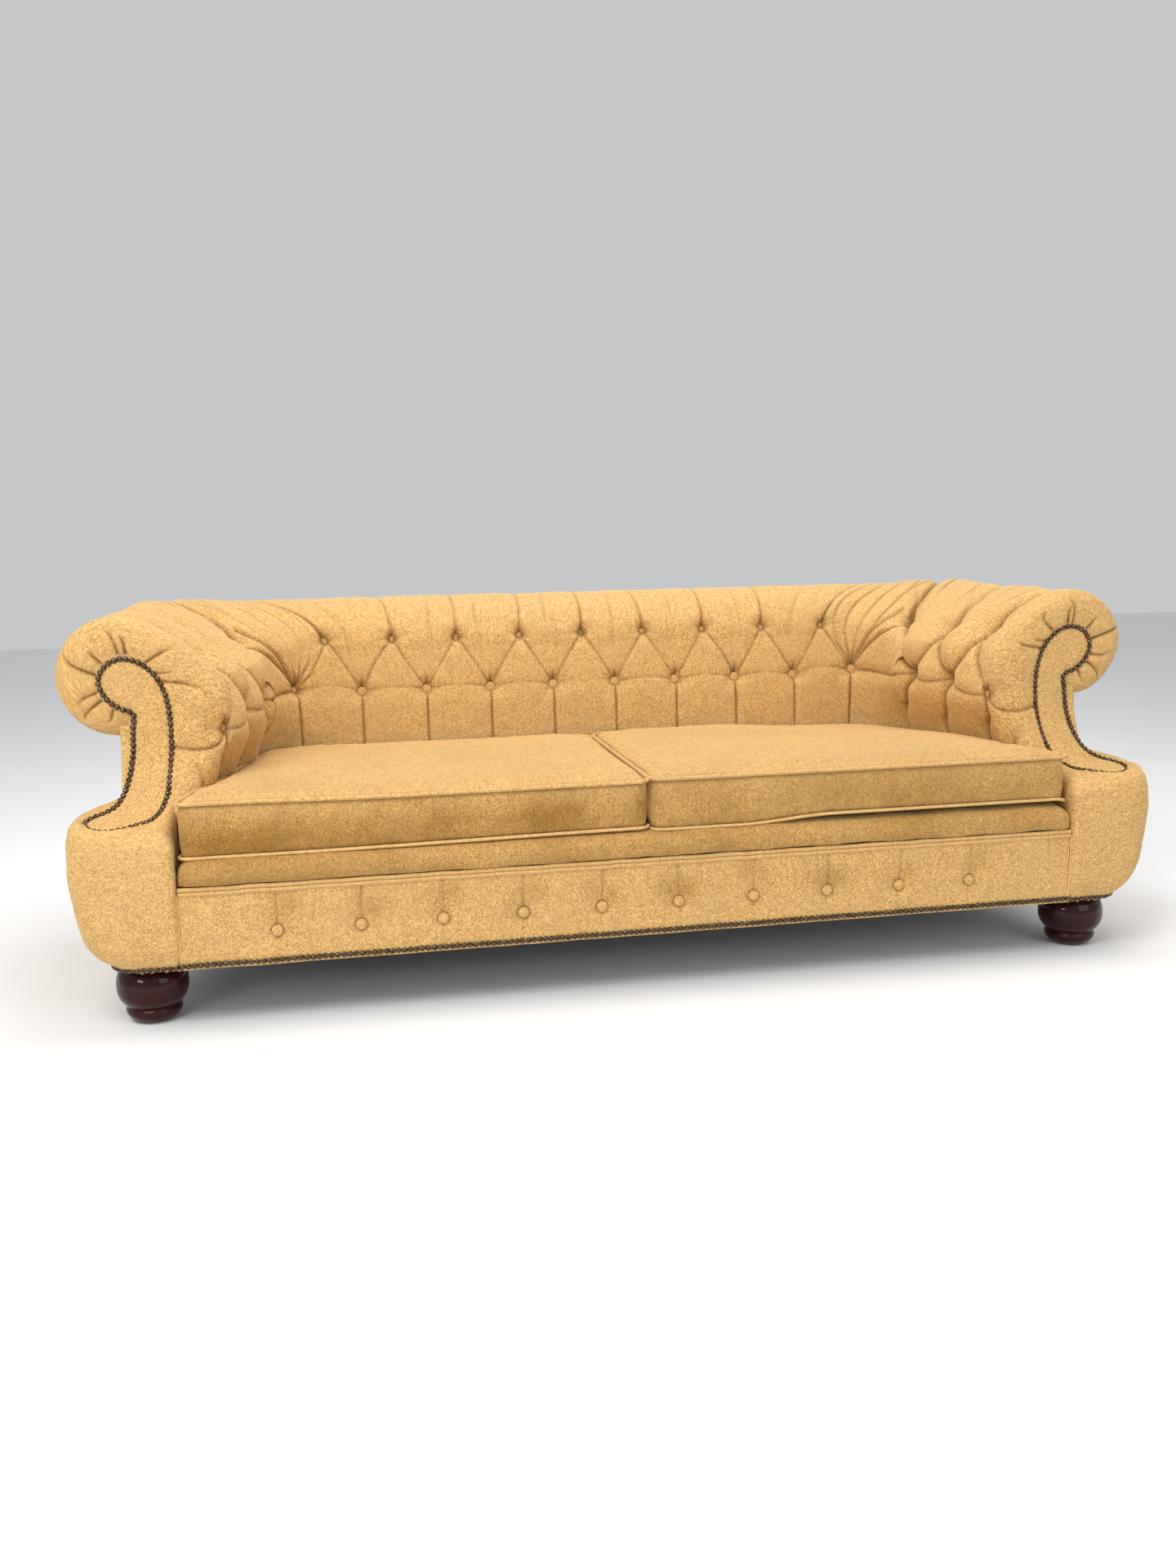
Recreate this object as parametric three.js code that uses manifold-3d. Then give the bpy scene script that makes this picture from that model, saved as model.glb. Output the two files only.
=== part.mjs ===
// A three-seat club sofa with rolled arms, a deep-buttoned back and turned bun feet.
//
// Millimetres, +Z up. The front faces -Y, "left" is -X (the left side for somebody who looks at the
// front), and the origin is on the floor, under the centre of the sofa's bounding box.
//
// The wooden frame stands on four bun feet. Zigzag springs run from the front rail to the rear rail and
// carry a hessian sheet and the padded deck. The arms and the back are padded hooks that hang over wooden
// top rails, and two loose seat cushions, each a foam core in a zipped cover, lie on the deck.
import * as THREE from "three";
import { mergeVertices } from "three/addons/utils/BufferGeometryUtils.js";
import Module from "manifold-3d";

const wasm = await Module();
wasm.setup();

// ---------------------------------------------------------------- driving dimensions
const FRONT = -451.6; // y of the front border panel; every depth below is counted from it
const GAP = 0.4; // clearance between pieces that touch

const SEAT_HALF = 900; // half width between the two arm blocks
const BASE_Z = 119; // underside of the upholstered base
const RAIL_TOP = 262;
const WELT_Z = 269; // piping between the border panel and the lip
const DECK_Z = 328.4; // top of the deck, under the cushions

const ROLL_R = 108; // radius of the rolled arms
const ROLL_X = 1000; // centre of an arm roll
const ROLL_Z = 650;
const BACK_ROLL_R = 105;
const BACK_ROLL_DEPTH = 815; // centre of the back roll, behind the front panel
const BACK_FACE = 627; // front of the padded back, at the seat
const BACK_LEAN = 0.2; // how far the back leans for each millimetre of height
const FACE_TOP = 640; // height where the inner faces start to roll outwards
const WALL = 55; // thickness of the padding on the inner faces
const PAD_FOOT = 300; // lower edge of the padded arms and back

const BOARD_DEPTH = 183; // front of the plywood scroll boards in the arms
const BOARD_THICK = 18;
const RAIL_THICK = 25;
const REAR_RAIL_DEPTH = 750;
const SIDE_RAIL_X = 960;
const TOP_RAIL_Z = [600, 670];

const PLINTH_X = [903, 1022]; // inner and outer side of the wooden plinth inside each block
const PLINTH_FRONT = 16;
const PLINTH_TOP = 340;
const BLOCK_OUT = 1095; // outermost point of the padded blocks under the arm fronts
const BLOCK_DEPTHS = [-16, 150];
const BLOCK_TOP = 383;
const RAMP_FOOT_DEPTH = 50; // where the arm facing meets the block's top
const RAMP_FOOT_Z = 390;
const RAMP_HEAD_Z = 560;

const CUSHION_Z = [329, 448];
const CUSHION_FRONT = 6;
const CUSHION_BACK = 623;
const CUSHION_SKIN = 3;
const ZIP_HALF_HEIGHT = 12;

const FOOT_X = [968, 925]; // front and rear bun feet
const FOOT_DEPTH = [96, 700];
const BOLT_R = 5;
const NAIL_Z = 129; // centre line of the nails along the base
const WIRE_R = 1.9;
const SPRING_COUNT = 6;

// ---------------------------------------------------------------- materials
const material = (color, roughness, metalness = 0) =>
  new THREE.MeshStandardMaterial({ color, roughness, metalness });
const fabric = material(0xd9a556, 0.95);
const foam = material(0xefe6c4, 0.9);
const hessian = material(0xa98a5b, 1.0);
const cambric = material(0x1c1b1d, 1.0);
const frameWood = material(0xc9a06a, 0.8);
const footWood = material(0x3d0f0d, 0.2);
const steel = material(0x9a9da0, 0.4, 1);
const brass = material(0x5b4127, 0.45, 1);
const zipTape = material(0xb98a45, 0.7);

// ---------------------------------------------------------------- shape helpers
const y = (depth) => FRONT + depth;
const outline = (points) => new THREE.Shape(points.map((p) => new THREE.Vector2(...p)));
const mirrored = (points) => [...points, ...points.map(([a, b]) => [-a, b]).reverse()];
const rectangle = (a0, a1, b0, b1) => [[a0, b0], [a1, b0], [a1, b1], [a0, b1]];

function box(x0, x1, depth0, depth1, z0, z1) {
  const g = new THREE.BoxGeometry(x1 - x0, depth1 - depth0, z1 - z0);
  return g.translate((x0 + x1) / 2, y((depth0 + depth1) / 2), (z0 + z1) / 2);
}

// Points of an arc in degrees, both ends included. ry lets it be an ellipse.
function arc(cx, cy, rx, from, to, steps, ry = rx) {
  return Array.from({ length: steps + 1 }, (_, i) => {
    const a = THREE.MathUtils.degToRad(from + ((to - from) * i) / steps);
    return [cx + rx * Math.cos(a), cy + ry * Math.sin(a)];
  });
}

function prism(shape, length, options = {}) {
  return new THREE.ExtrudeGeometry(shape, { depth: length, bevelEnabled: false, curveSegments: 6, ...options });
}

// A plan outline of (x, depth) points, raised from z0 to z1.
const upright = (shape, z0, z1) => prism(shape, z1 - z0).translate(0, FRONT, z0);

// A front outline of (x, z) points, run from depth0 back to depth1.
function alongDepth(shape, depth0, depth1, options) {
  return prism(shape, depth1 - depth0, options)
    .rotateX(Math.PI / 2)
    .translate(0, y(depth1), 0);
}

// A side outline of (depth, z) points, run from x0 to x1.
function alongWidth(shape, x0, x1) {
  const turn = new THREE.Matrix4().makeBasis(
    new THREE.Vector3(0, 1, 0),
    new THREE.Vector3(0, 0, 1),
    new THREE.Vector3(1, 0, 0),
  );
  return prism(shape, x1 - x0)
    .applyMatrix4(turn)
    .translate(x0, FRONT, 0);
}

// A closed body through rings of the same number of points. place(i) turns the flat section point
// (outward, z) of ring i into a point of the sofa.
function loft(sections, place) {
  const n = sections[0].length;
  const positions = [];
  const rings = sections.map((section, i) => section.map((p) => place(i, p)));
  const corner = (p) => positions.push(p.x, p.y, p.z);
  for (let i = 0; i + 1 < rings.length; i++) {
    for (let k = 0; k < n; k++) {
      const next = (k + 1) % n;
      const [a, b, c, d] = [rings[i][k], rings[i][next], rings[i + 1][next], rings[i + 1][k]];
      [a, b, c, a, c, d].forEach(corner);
    }
  }
  for (const i of [0, rings.length - 1]) {
    const flat = sections[i].map((p) => new THREE.Vector2(...p));
    for (const face of THREE.ShapeUtils.triangulateShape(flat, [])) {
      const order = i === 0 ? [...face].reverse() : face;
      order.forEach((k) => corner(rings[i][k]));
    }
  }
  const g = new THREE.BufferGeometry();
  return g.setAttribute("position", new THREE.Float32BufferAttribute(positions, 3));
}

function tube(points, radius, steps, sides) {
  const path = new THREE.CatmullRomCurve3(points);
  const section = outline(arc(0, 0, radius, 0, 360, sides).slice(0, -1));
  return new THREE.ExtrudeGeometry(section, { steps, extrudePath: path, bevelEnabled: false });
}

function solid(geometry) {
  const bare = geometry.index ? geometry.toNonIndexed() : geometry.clone();
  bare.deleteAttribute("normal");
  bare.deleteAttribute("uv");
  const merged = mergeVertices(bare, 1e-3);
  const mesh = new wasm.Mesh({
    numProp: 3,
    vertProperties: merged.attributes.position.array,
    triVerts: new Uint32Array(merged.index.array),
  });
  return new wasm.Manifold(mesh);
}

function geometryOf(made) {
  const mesh = made.getMesh();
  const g = new THREE.BufferGeometry();
  g.setAttribute("position", new THREE.Float32BufferAttribute(mesh.vertProperties, 3));
  return g.setIndex(new THREE.Uint32BufferAttribute(mesh.triVerts, 1));
}

// ---------------------------------------------------------------- the sofa's groups
const sofa = new THREE.Group();
const rightHand = new THREE.Group();
const leftHand = new THREE.Group();
leftHand.scale.x = -1;
sofa.add(rightHand, leftHand);

function add(name, geometry, look, group = sofa) {
  const mesh = new THREE.Mesh(geometry, look);
  mesh.name = name;
  group.add(mesh);
}

// The same piece on both sides of the sofa, drawn once on the right and mirrored.
function addPair(name, geometry, look) {
  add("right_" + name, geometry, look, rightHand);
  add("left_" + name, geometry, look, leftHand);
}

// ---------------------------------------------------------------- plan of the padded walls
// Inner face of an arm, at the seat: x for a depth. The arms open towards the front.
const armFace = (depth) => 838 - (depth - 205) * 0.225;

// The corner between arm and back is round, inside and along the middle of the roll.
const CORNER_START = 500;
const CORNER_R = 120;
const ROLL_CORNER = { x: 858, depth: 673, radius: 142, rise: 6 };

function innerCorner(inset, steps, from = 0, to = 90) {
  const centre = armFace(CORNER_START) - CORNER_R;
  return arc(centre - inset, BACK_FACE - CORNER_R - inset, CORNER_R, from, to, steps);
}

// ---------------------------------------------------------------- sections of the padded hooks
// The section of a padded wall as (outward, z), with its inner face at 0: up the inner face, over the
// roll, down to its underside, and back round the hollow that holds the top rail. `reach` is the
// distance out to the roll's centre and `lean` the face's outward lean.
function hookSection(reach, radius, lean) {
  const top = ROLL_Z + radius;
  const at = (z) => lean * (z - PAD_FOOT);
  const hollow = [reach - 66, reach - 4];
  return [
    [at(PAD_FOOT), PAD_FOOT],
    ...arc(reach, FACE_TOP, reach - at(FACE_TOP), 180, 90, 5, top - FACE_TOP),
    ...arc(reach, ROLL_Z, radius, 90, -90, 8).slice(1),
    [hollow[1], ROLL_Z - radius + 3],
    [hollow[1], TOP_RAIL_Z[1] + 6],
    [hollow[0], TOP_RAIL_Z[1] + 6],
    [hollow[0], TOP_RAIL_Z[0] - 4],
    [at(TOP_RAIL_Z[0] - 20) + WALL, TOP_RAIL_Z[0] - 20],
    [at(PAD_FOOT) + WALL, PAD_FOOT],
  ].reverse();
}

// A station says where, in plan, a section's inner face and its roll centre stand, and which way
// the roll bulges out.
const armStation = (depth) => ({
  face: [armFace(depth), depth],
  roll: [ROLL_X, depth],
  out: [1, 0],
  radius: ROLL_R,
  lean: 0,
});

const backStation = (faceX, rollX) => ({
  face: [faceX, BACK_FACE],
  roll: [rollX, BACK_ROLL_DEPTH],
  out: [0, 1],
  radius: BACK_ROLL_R,
  lean: BACK_LEAN,
});

function cornerStations(from, to) {
  const { x, depth, radius, rise } = ROLL_CORNER;
  const faces = innerCorner(0, 2, from, to);
  const rolls = arc(x, depth, radius, from, to, 2);
  return faces.map((face, i) => {
    const out = [(rolls[i][0] - x) / radius, (rolls[i][1] - depth) / radius];
    const turned = (from + ((to - from) * i) / 2) / 90;
    const swell = rise * Math.sin(Math.PI * turned);
    const r = THREE.MathUtils.lerp(ROLL_R, BACK_ROLL_R, turned) + swell;
    return { face, roll: rolls[i], out, radius: r, lean: BACK_LEAN * turned };
  });
}

function stationLoft(along) {
  const stations = [...along].reverse();
  const reach = ({ face, roll }) => Math.hypot(roll[0] - face[0], roll[1] - face[1]);
  const sections = stations.map((s) => hookSection(reach(s), s.radius, s.lean));
  return loft(sections, (i, [outward, z]) => {
    const { face, roll, out } = stations[i];
    const inner = Math.min(outward / reach(stations[i]), 1);
    const beyond = Math.max(outward - reach(stations[i]), 0);
    const at = [0, 1].map((k) => face[k] + (roll[k] - face[k]) * inner + out[k] * beyond);
    return new THREE.Vector3(at[0], y(at[1]), z);
  });
}

const moved = (stations, dx, dDepth) =>
  stations.map((s) => ({
    ...s,
    face: [s.face[0] + dx, s.face[1] + dDepth],
    roll: [s.roll[0] + dx, s.roll[1] + dDepth],
  }));

// The top rails and posts of the frame, each as x, depth and z ranges. The pads are cut to clear them.
const RAIL_DEEP = [BACK_ROLL_DEPTH - 60, BACK_ROLL_DEPTH - 10];
const RAIL_WIDE = [ROLL_X - 60, ROLL_X - 10];
const FRAME_TOP = {
  back_rail: [-RAIL_WIDE[0] + GAP, RAIL_WIDE[0] - GAP, ...RAIL_DEEP, ...TOP_RAIL_Z],
  arm_rail: [...RAIL_WIDE, BOARD_DEPTH + BOARD_THICK + GAP, RAIL_DEEP[1], ...TOP_RAIL_Z],
  corner_post: [880, 930, REAR_RAIL_DEPTH, REAR_RAIL_DEPTH + RAIL_THICK, RAIL_TOP + GAP, TOP_RAIL_Z[0] - GAP],
  middle_post: [275, 325, REAR_RAIL_DEPTH, REAR_RAIL_DEPTH + RAIL_THICK, RAIL_TOP + GAP, TOP_RAIL_Z[0] - GAP],
};

function cutForFrame(pad) {
  const clear = ([x0, x1, d0, d1, z0, z1]) =>
    solid(box(x0 - GAP, x1 + GAP, d0 - GAP, d1 + GAP, z0 - GAP, z1 + GAP));
  const onLeft = ([x0, x1, ...rest]) => [-x1, -x0, ...rest];
  return Object.values(FRAME_TOP).reduce(
    (made, range) => made.subtract(clear(range)).subtract(clear(onLeft(range))),
    pad,
  );
}

// The arm's front end swells forward, inside the scroll board, down to the cushion's side.
function armPad() {
  const front = BOARD_DEPTH + BOARD_THICK + GAP;
  const wedge = upright(
    outline([
      [901, 112],
      [901, front + 2],
      [armFace(front), front + 2],
      [armFace(165) + 5, 165],
    ]),
    PAD_FOOT,
    FACE_TOP,
  );
  const stations = [front, 350, CORNER_START].map(armStation);
  const wall = stationLoft([...stations, ...cornerStations(0, 45)]);
  return geometryOf(cutForFrame(solid(wall).add(solid(wedge))));
}

function backPad() {
  const clear = GAP; // keeps the back clear of the arms at the two corner joins
  const half = [
    ...moved(cornerStations(45, 90), -clear, clear),
    backStation(580, 740),
    backStation(0, 0),
  ];
  const onLeft = ([x, depth]) => [-x, depth];
  const other = half
    .slice(0, -1)
    .reverse()
    .map((s) => ({ ...s, face: onLeft(s.face), roll: onLeft(s.roll), out: onLeft(s.out) }));
  return geometryOf(cutForFrame(solid(stationLoft([...half, ...other]))));
}

// ---------------------------------------------------------------- frame
function buildFrame() {
  const boardBack = BOARD_DEPTH + BOARD_THICK + GAP;
  const sideRailEnd = REAR_RAIL_DEPTH - GAP;
  const railFloor = BASE_Z + 11;

  add("front_seat_rail", box(-PLINTH_X[0] + GAP, PLINTH_X[0] - GAP, 16, 16 + RAIL_THICK, railFloor, RAIL_TOP), frameWood);
  add("rear_seat_rail", box(-985, 985, REAR_RAIL_DEPTH, REAR_RAIL_DEPTH + RAIL_THICK, railFloor, RAIL_TOP), frameWood);
  add("centre_seat_rail", box(-20, 20, 16 + RAIL_THICK + GAP, sideRailEnd, railFloor + 20, RAIL_TOP - 30), frameWood);
  addPair("side_rail", box(SIDE_RAIL_X, SIDE_RAIL_X + RAIL_THICK, boardBack, sideRailEnd, railFloor, RAIL_TOP), frameWood);

  const [frontX, rearX] = FOOT_X;
  const [frontDepth, rearDepth] = FOOT_DEPTH;
  const bore = (x, depth) => {
    const g = new THREE.CylinderGeometry(BOLT_R + GAP, BOLT_R + GAP, 400, 12).rotateX(Math.PI / 2);
    return solid(g.translate(x, y(depth), BASE_Z));
  };
  const [inner, outer] = PLINTH_X;
  const cornerCut = 44;
  const footprint = outline([
    [inner, PLINTH_FRONT],
    [outer - cornerCut, PLINTH_FRONT],
    [outer, PLINTH_FRONT + cornerCut],
    [outer, BOARD_DEPTH - 2],
    [inner, BOARD_DEPTH - 2],
  ]);
  const plinth = upright(footprint, BASE_Z + 2, PLINTH_TOP);
  addPair("arm_plinth", geometryOf(solid(plinth).subtract(bore(frontX, frontDepth))), frameWood);
  const block = box(870, SIDE_RAIL_X - GAP, rearDepth - 55, sideRailEnd, BASE_Z + 2, BASE_Z + 50);
  addPair("rear_corner_block", geometryOf(solid(block).subtract(bore(rearX, rearDepth))), frameWood);

  // Plywood scroll board: a straight leg that ends in a round head.
  const head = { x: 985, z: 640, r: 56 };
  const board = outline([
    [903, BASE_Z + 2],
    [SIDE_RAIL_X + RAIL_THICK, BASE_Z + 2],
    [SIDE_RAIL_X + RAIL_THICK, 575],
    ...arc(head.x, head.z, head.r, -50, 180, 9),
    [903, 600],
  ]);
  addPair("arm_scroll_board", alongDepth(board, BOARD_DEPTH, BOARD_DEPTH + BOARD_THICK), frameWood);

  addPair("arm_top_rail", box(...FRAME_TOP.arm_rail), frameWood);
  add("back_top_rail", box(...FRAME_TOP.back_rail), frameWood);
  addPair("back_corner_post", box(...FRAME_TOP.corner_post), frameWood);
  addPair("back_middle_post", box(...FRAME_TOP.middle_post), frameWood);
}

// ---------------------------------------------------------------- feet
function buildFeet() {
  // Bun foot, turned: a small base, a lower ring, a groove and the wide bulb, with a blind bore on top.
  const topZ = BASE_Z - GAP;
  const boreR = BOLT_R + GAP;
  const boreFloor = 60;
  const profile = [
    [0, 0],
    [30, 0],
    ...arc(36, 17, 16.5, -62, 62, 5, 15),
    ...arc(34, 73, 33.5, -64, 64, 9, 41),
    [46, topZ],
    [boreR, topZ],
    [boreR, boreFloor],
    [0, boreFloor],
  ].map((p) => new THREE.Vector2(...p));
  const bun = new THREE.LatheGeometry(profile, 28).rotateX(Math.PI / 2);
  const bolt = new THREE.CylinderGeometry(BOLT_R, BOLT_R, 90, 12).rotateX(Math.PI / 2);
  ["front", "rear"].forEach((end, i) => {
    addPair(end + "_bun_foot", bun.clone().translate(FOOT_X[i], y(FOOT_DEPTH[i]), 0), footWood);
    addPair(end + "_foot_bolt", bolt.clone().translate(FOOT_X[i], y(FOOT_DEPTH[i]), boreFloor + 46), steel);
  });
}

// ---------------------------------------------------------------- suspension and deck
function buildSuspension() {
  const from = 20;
  const to = REAR_RAIL_DEPTH + RAIL_THICK - 4;
  const waves = 16;
  const swing = 24;
  const rise = 14;
  const rest = RAIL_TOP + WIRE_R + GAP;
  for (let k = 0; k < SPRING_COUNT; k++) {
    const x = (k - (SPRING_COUNT - 1) / 2) * 270;
    const points = Array.from({ length: waves + 1 }, (_, i) => {
      const t = i / waves;
      const side = i === 0 || i === waves ? 0 : (i % 2 ? 1 : -1) * swing;
      return new THREE.Vector3(x + side, y(from + (to - from) * t), rest + rise * Math.sin(Math.PI * t) ** 0.5);
    });
    add(`seat_spring_${k + 1}`, tube(points, WIRE_R, 3 * waves, 6), steel);
  }

  const half = (inset, front) => [
    [armFace(front) - inset, front],
    ...innerCorner(inset, 4),
  ];
  const plan = (inset, front) => outline(mirrored(half(inset, front)));
  add("spring_cover", upright(plan(1.5, 96), 283, 285), hessian);
  add("deck_pad", upright(plan(1.5, 96), 286, DECK_Z), fabric);

  const holes = FOOT_X.flatMap((x, i) => [[x, FOOT_DEPTH[i]], [-x, FOOT_DEPTH[i]]]);
  const edge = PLINTH_X[1] - 10;
  const sheet = outline(mirrored([
    [edge - 44, 24],
    [edge, 68],
    [edge, BOARD_DEPTH - 4],
    [SIDE_RAIL_X + RAIL_THICK, BOARD_DEPTH - 4],
    [SIDE_RAIL_X + RAIL_THICK, REAR_RAIL_DEPTH + RAIL_THICK],
  ]));
  sheet.holes = holes.map(([x, depth]) => new THREE.Path(
    arc(x, depth, BOLT_R + 1, 360, 0, 12).slice(0, -1).map((p) => new THREE.Vector2(...p)),
  ));
  add("dust_cover", upright(sheet, BASE_Z, BASE_Z + 1.5), cambric);
}

// ---------------------------------------------------------------- padding and covers
// The arm block: a full, round-shouldered pad over the wooden plinth, under the arm's facing.
function blockPad() {
  const bevel = 22;
  const [x0, x1] = [SEAT_HALF + 1 + bevel, BLOCK_OUT - bevel];
  const [z0, z1] = [BASE_Z + 3 + bevel, BLOCK_TOP - bevel];
  const front = outline([
    [x0, z0],
    ...arc(x1 - 42, z0 + 42, 42, -90, 0, 4).map(([x, z]) => [x - 12, z]),
    [x1, z0 + 130],
    ...arc(x1 - 25, z1 - 25, 25, 0, 90, 3),
    [x0, z1],
  ]);
  const [d0, d1] = BLOCK_DEPTHS;
  const body = alongDepth(front, d0 + bevel, d1 - bevel, {
    bevelEnabled: true,
    bevelThickness: bevel,
    bevelSize: bevel,
    bevelSegments: 3,
  });
  const core = box(880, PLINTH_X[1] + GAP, PLINTH_FRONT - GAP, 200, 60, PLINTH_TOP + GAP);
  return geometryOf(solid(body).subtract(solid(core)));
}

// The facing: a thin panel that stands on the arm's front and sweeps forward onto the block.
// Each row is its left and right edge and how far round the sweep it is.
function armFacing(thick) {
  const sweep = BOARD_DEPTH - 2 - RAMP_FOOT_DEPTH;
  const rise = RAMP_HEAD_Z - RAMP_FOOT_Z;
  const rampRow = (degrees, x0, x1) => {
    const a = THREE.MathUtils.degToRad(degrees);
    const centre = [RAMP_FOOT_DEPTH, RAMP_HEAD_Z];
    const at = (grow) => [
      centre[0] + (sweep - grow) * Math.sin(a),
      centre[1] - (rise - grow) * Math.cos(a),
    ];
    return { x: [x0, x1], back: at(0), front: at(thick) };
  };
  const wallRow = (z, x0, x1) => ({
    x: [x0, x1],
    back: [BOARD_DEPTH - 2, z],
    front: [BOARD_DEPTH - 2 - thick, z],
  });
  const rows = [
    rampRow(0, 940, 1052),
    rampRow(12, 928, 1048),
    rampRow(25, 921, 1022),
    rampRow(40, 917, 1004),
    rampRow(60, 913, 990),
    rampRow(78, 909, 981),
    wallRow(560, 908, 977),
    wallRow(582, 909, 976),
    wallRow(602, 911, 1006),
    wallRow(622, 914, 1026),
    wallRow(645, 922, 1034),
    wallRow(668, 942, 1020),
    wallRow(684, 968, 1000),
  ];
  const sections = rows.reverse().map(({ x, back, front }) => [
    [x[0], back],
    [x[1], back],
    [x[1], front],
    [x[0], front],
  ]);
  const flat = rectangle(0, 1, 0, 1);
  return loft(sections.map(() => flat), (i, p) => {
    const k = flat.indexOf(p);
    const [x, [depth, z]] = sections[i][k];
    return new THREE.Vector3(x, y(depth), z);
  });
}

function buildCovers() {
  addPair("arm_pad", armPad(), fabric);
  add("back_pad", backPad(), fabric);
  addPair("arm_block_pad", blockPad(), fabric);
  addPair("arm_facing", armFacing(6), fabric);

  const panelHalf = SEAT_HALF - 1;
  add("front_border_panel", box(-panelHalf, panelHalf, 0, 16 - GAP, BASE_Z + 2, RAIL_TOP + 1), fabric);
  const welt = [new THREE.Vector3(-panelHalf, y(-2), WELT_Z), new THREE.Vector3(panelHalf, y(-2), WELT_Z)];
  add("front_welt", tube(welt, 5, 1, 10), fabric);
  const lipFoot = WELT_Z + 7;
  const lipHalf = (DECK_Z - lipFoot) / 2;
  const lip = outline([
    [94, lipFoot],
    [94, DECK_Z],
    ...arc(12, lipFoot + lipHalf, 24, 90, 270, 8, lipHalf),
  ]);
  add("deck_front_lip", alongWidth(lip, -panelHalf, panelHalf), fabric);

  // Outside covers: fabric over hardboard, from under the rolls down to the base.
  const under = ROLL_Z - ROLL_R - 8;
  addPair("outside_arm_panel", box(SIDE_RAIL_X + RAIL_THICK + GAP, 998, BOARD_DEPTH, REAR_RAIL_DEPTH - 2, BASE_Z + 2, under), fabric);
  const rear = REAR_RAIL_DEPTH + RAIL_THICK + GAP;
  add("outside_back_panel", box(-998, 998, rear, rear + 12, BASE_Z + 2, under), fabric);
}

// ---------------------------------------------------------------- trims
function buildTrims() {
  // Close-nailed strips, each one band: along the base, and round the foot of each arm block.
  const half = SEAT_HALF - 1;
  const tall = [NAIL_Z - 5.5, NAIL_Z + 5.5];
  add("base_nail_strip", box(-half, half, -3, -GAP, ...tall), brass);
  const back = BLOCK_DEPTHS[1] - 16;
  const round = outline([
    [903, -14.6],
    [1022, -14.6],
    [1054, -8],
    [1060, 8],
    [1060, back],
    [1062.6, back],
    [1062.6, 7.5],
    [1056, -10.2],
    [1022.4, -17.2],
    [903, -17.2],
  ]);
  addPair("block_nail_strip", upright(round, ...tall), brass);

  // The facing's nails run up its inner edge, round the head and down its outer edge to the toe.
  const depth = BOARD_DEPTH - 12;
  const ring = [
    new THREE.Vector3(935, y(60), 380 + 30),
    new THREE.Vector3(916, y(118), 432),
    new THREE.Vector3(909, y(158), 490),
    new THREE.Vector3(908, y(depth), 560),
    new THREE.Vector3(915, y(depth), 625),
    new THREE.Vector3(942, y(depth), 668),
    new THREE.Vector3(985, y(depth), 684),
    new THREE.Vector3(1020, y(depth), 668),
    new THREE.Vector3(1034, y(depth), 645),
    new THREE.Vector3(1012, y(depth), 608),
    new THREE.Vector3(976, y(depth), 575),
    new THREE.Vector3(980, y(depth - 4), 520),
    new THREE.Vector3(992, y(135), 454),
    new THREE.Vector3(1022, y(82), 412),
    new THREE.Vector3(1050, y(50), 401),
  ];
  addPair("facing_nail_strip", tube(ring, 2.5, 40, 6), brass);
}

// ---------------------------------------------------------------- loose seat cushions
function cushionPlan(inset) {
  const gap = 4; // clearance to the padded walls and, halved, between the cushions
  const g = gap + inset;
  return outline([
    [gap / 2 + inset, CUSHION_FRONT + inset],
    [SEAT_HALF - g, CUSHION_FRONT + inset],
    [872 - g, 114],
    [armFace(203) - g, 203],
    ...innerCorner(g, 4),
    [gap / 2 + inset, CUSHION_BACK - inset],
  ]);
}

function buildCushions() {
  const [z0, z1] = CUSHION_Z;
  const middle = (z0 + z1) / 2;
  const coreInset = CUSHION_SKIN + GAP;
  const shell = solid(upright(cushionPlan(0), z0, z1));
  const hollow = solid(upright(cushionPlan(CUSHION_SKIN), z0 + CUSHION_SKIN, z1 - CUSHION_SKIN));
  const [zip0, zip1] = [60, 560];
  const slot = solid(box(zip0, zip1, CUSHION_BACK - 12, CUSHION_BACK + 12, middle - ZIP_HALF_HEIGHT, middle + ZIP_HALF_HEIGHT));
  const cover = geometryOf(shell.subtract(hollow).subtract(slot));
  const core = upright(cushionPlan(coreInset), z0 + coreInset, z1 - coreInset);
  const zip = box(
    zip0 + GAP, zip1 - GAP, CUSHION_BACK - CUSHION_SKIN, CUSHION_BACK - 0.5,
    middle - ZIP_HALF_HEIGHT + GAP, middle + ZIP_HALF_HEIGHT - GAP,
  );
  addPair("cushion_cover", cover, fabric);
  addPair("cushion_foam", core, foam);
  addPair("cushion_zip", zip, zipTape);
}

buildFrame();
buildFeet();
buildSuspension();
buildCovers();
buildTrims();
buildCushions();

export default sofa;
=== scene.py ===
"""Visual model of the rolled-arm sofa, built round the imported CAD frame."""

import math
import random

import bpy
import numpy as np
from mathutils import Matrix, Vector
from mathutils.geometry import delaunay_2d_cdt


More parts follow.
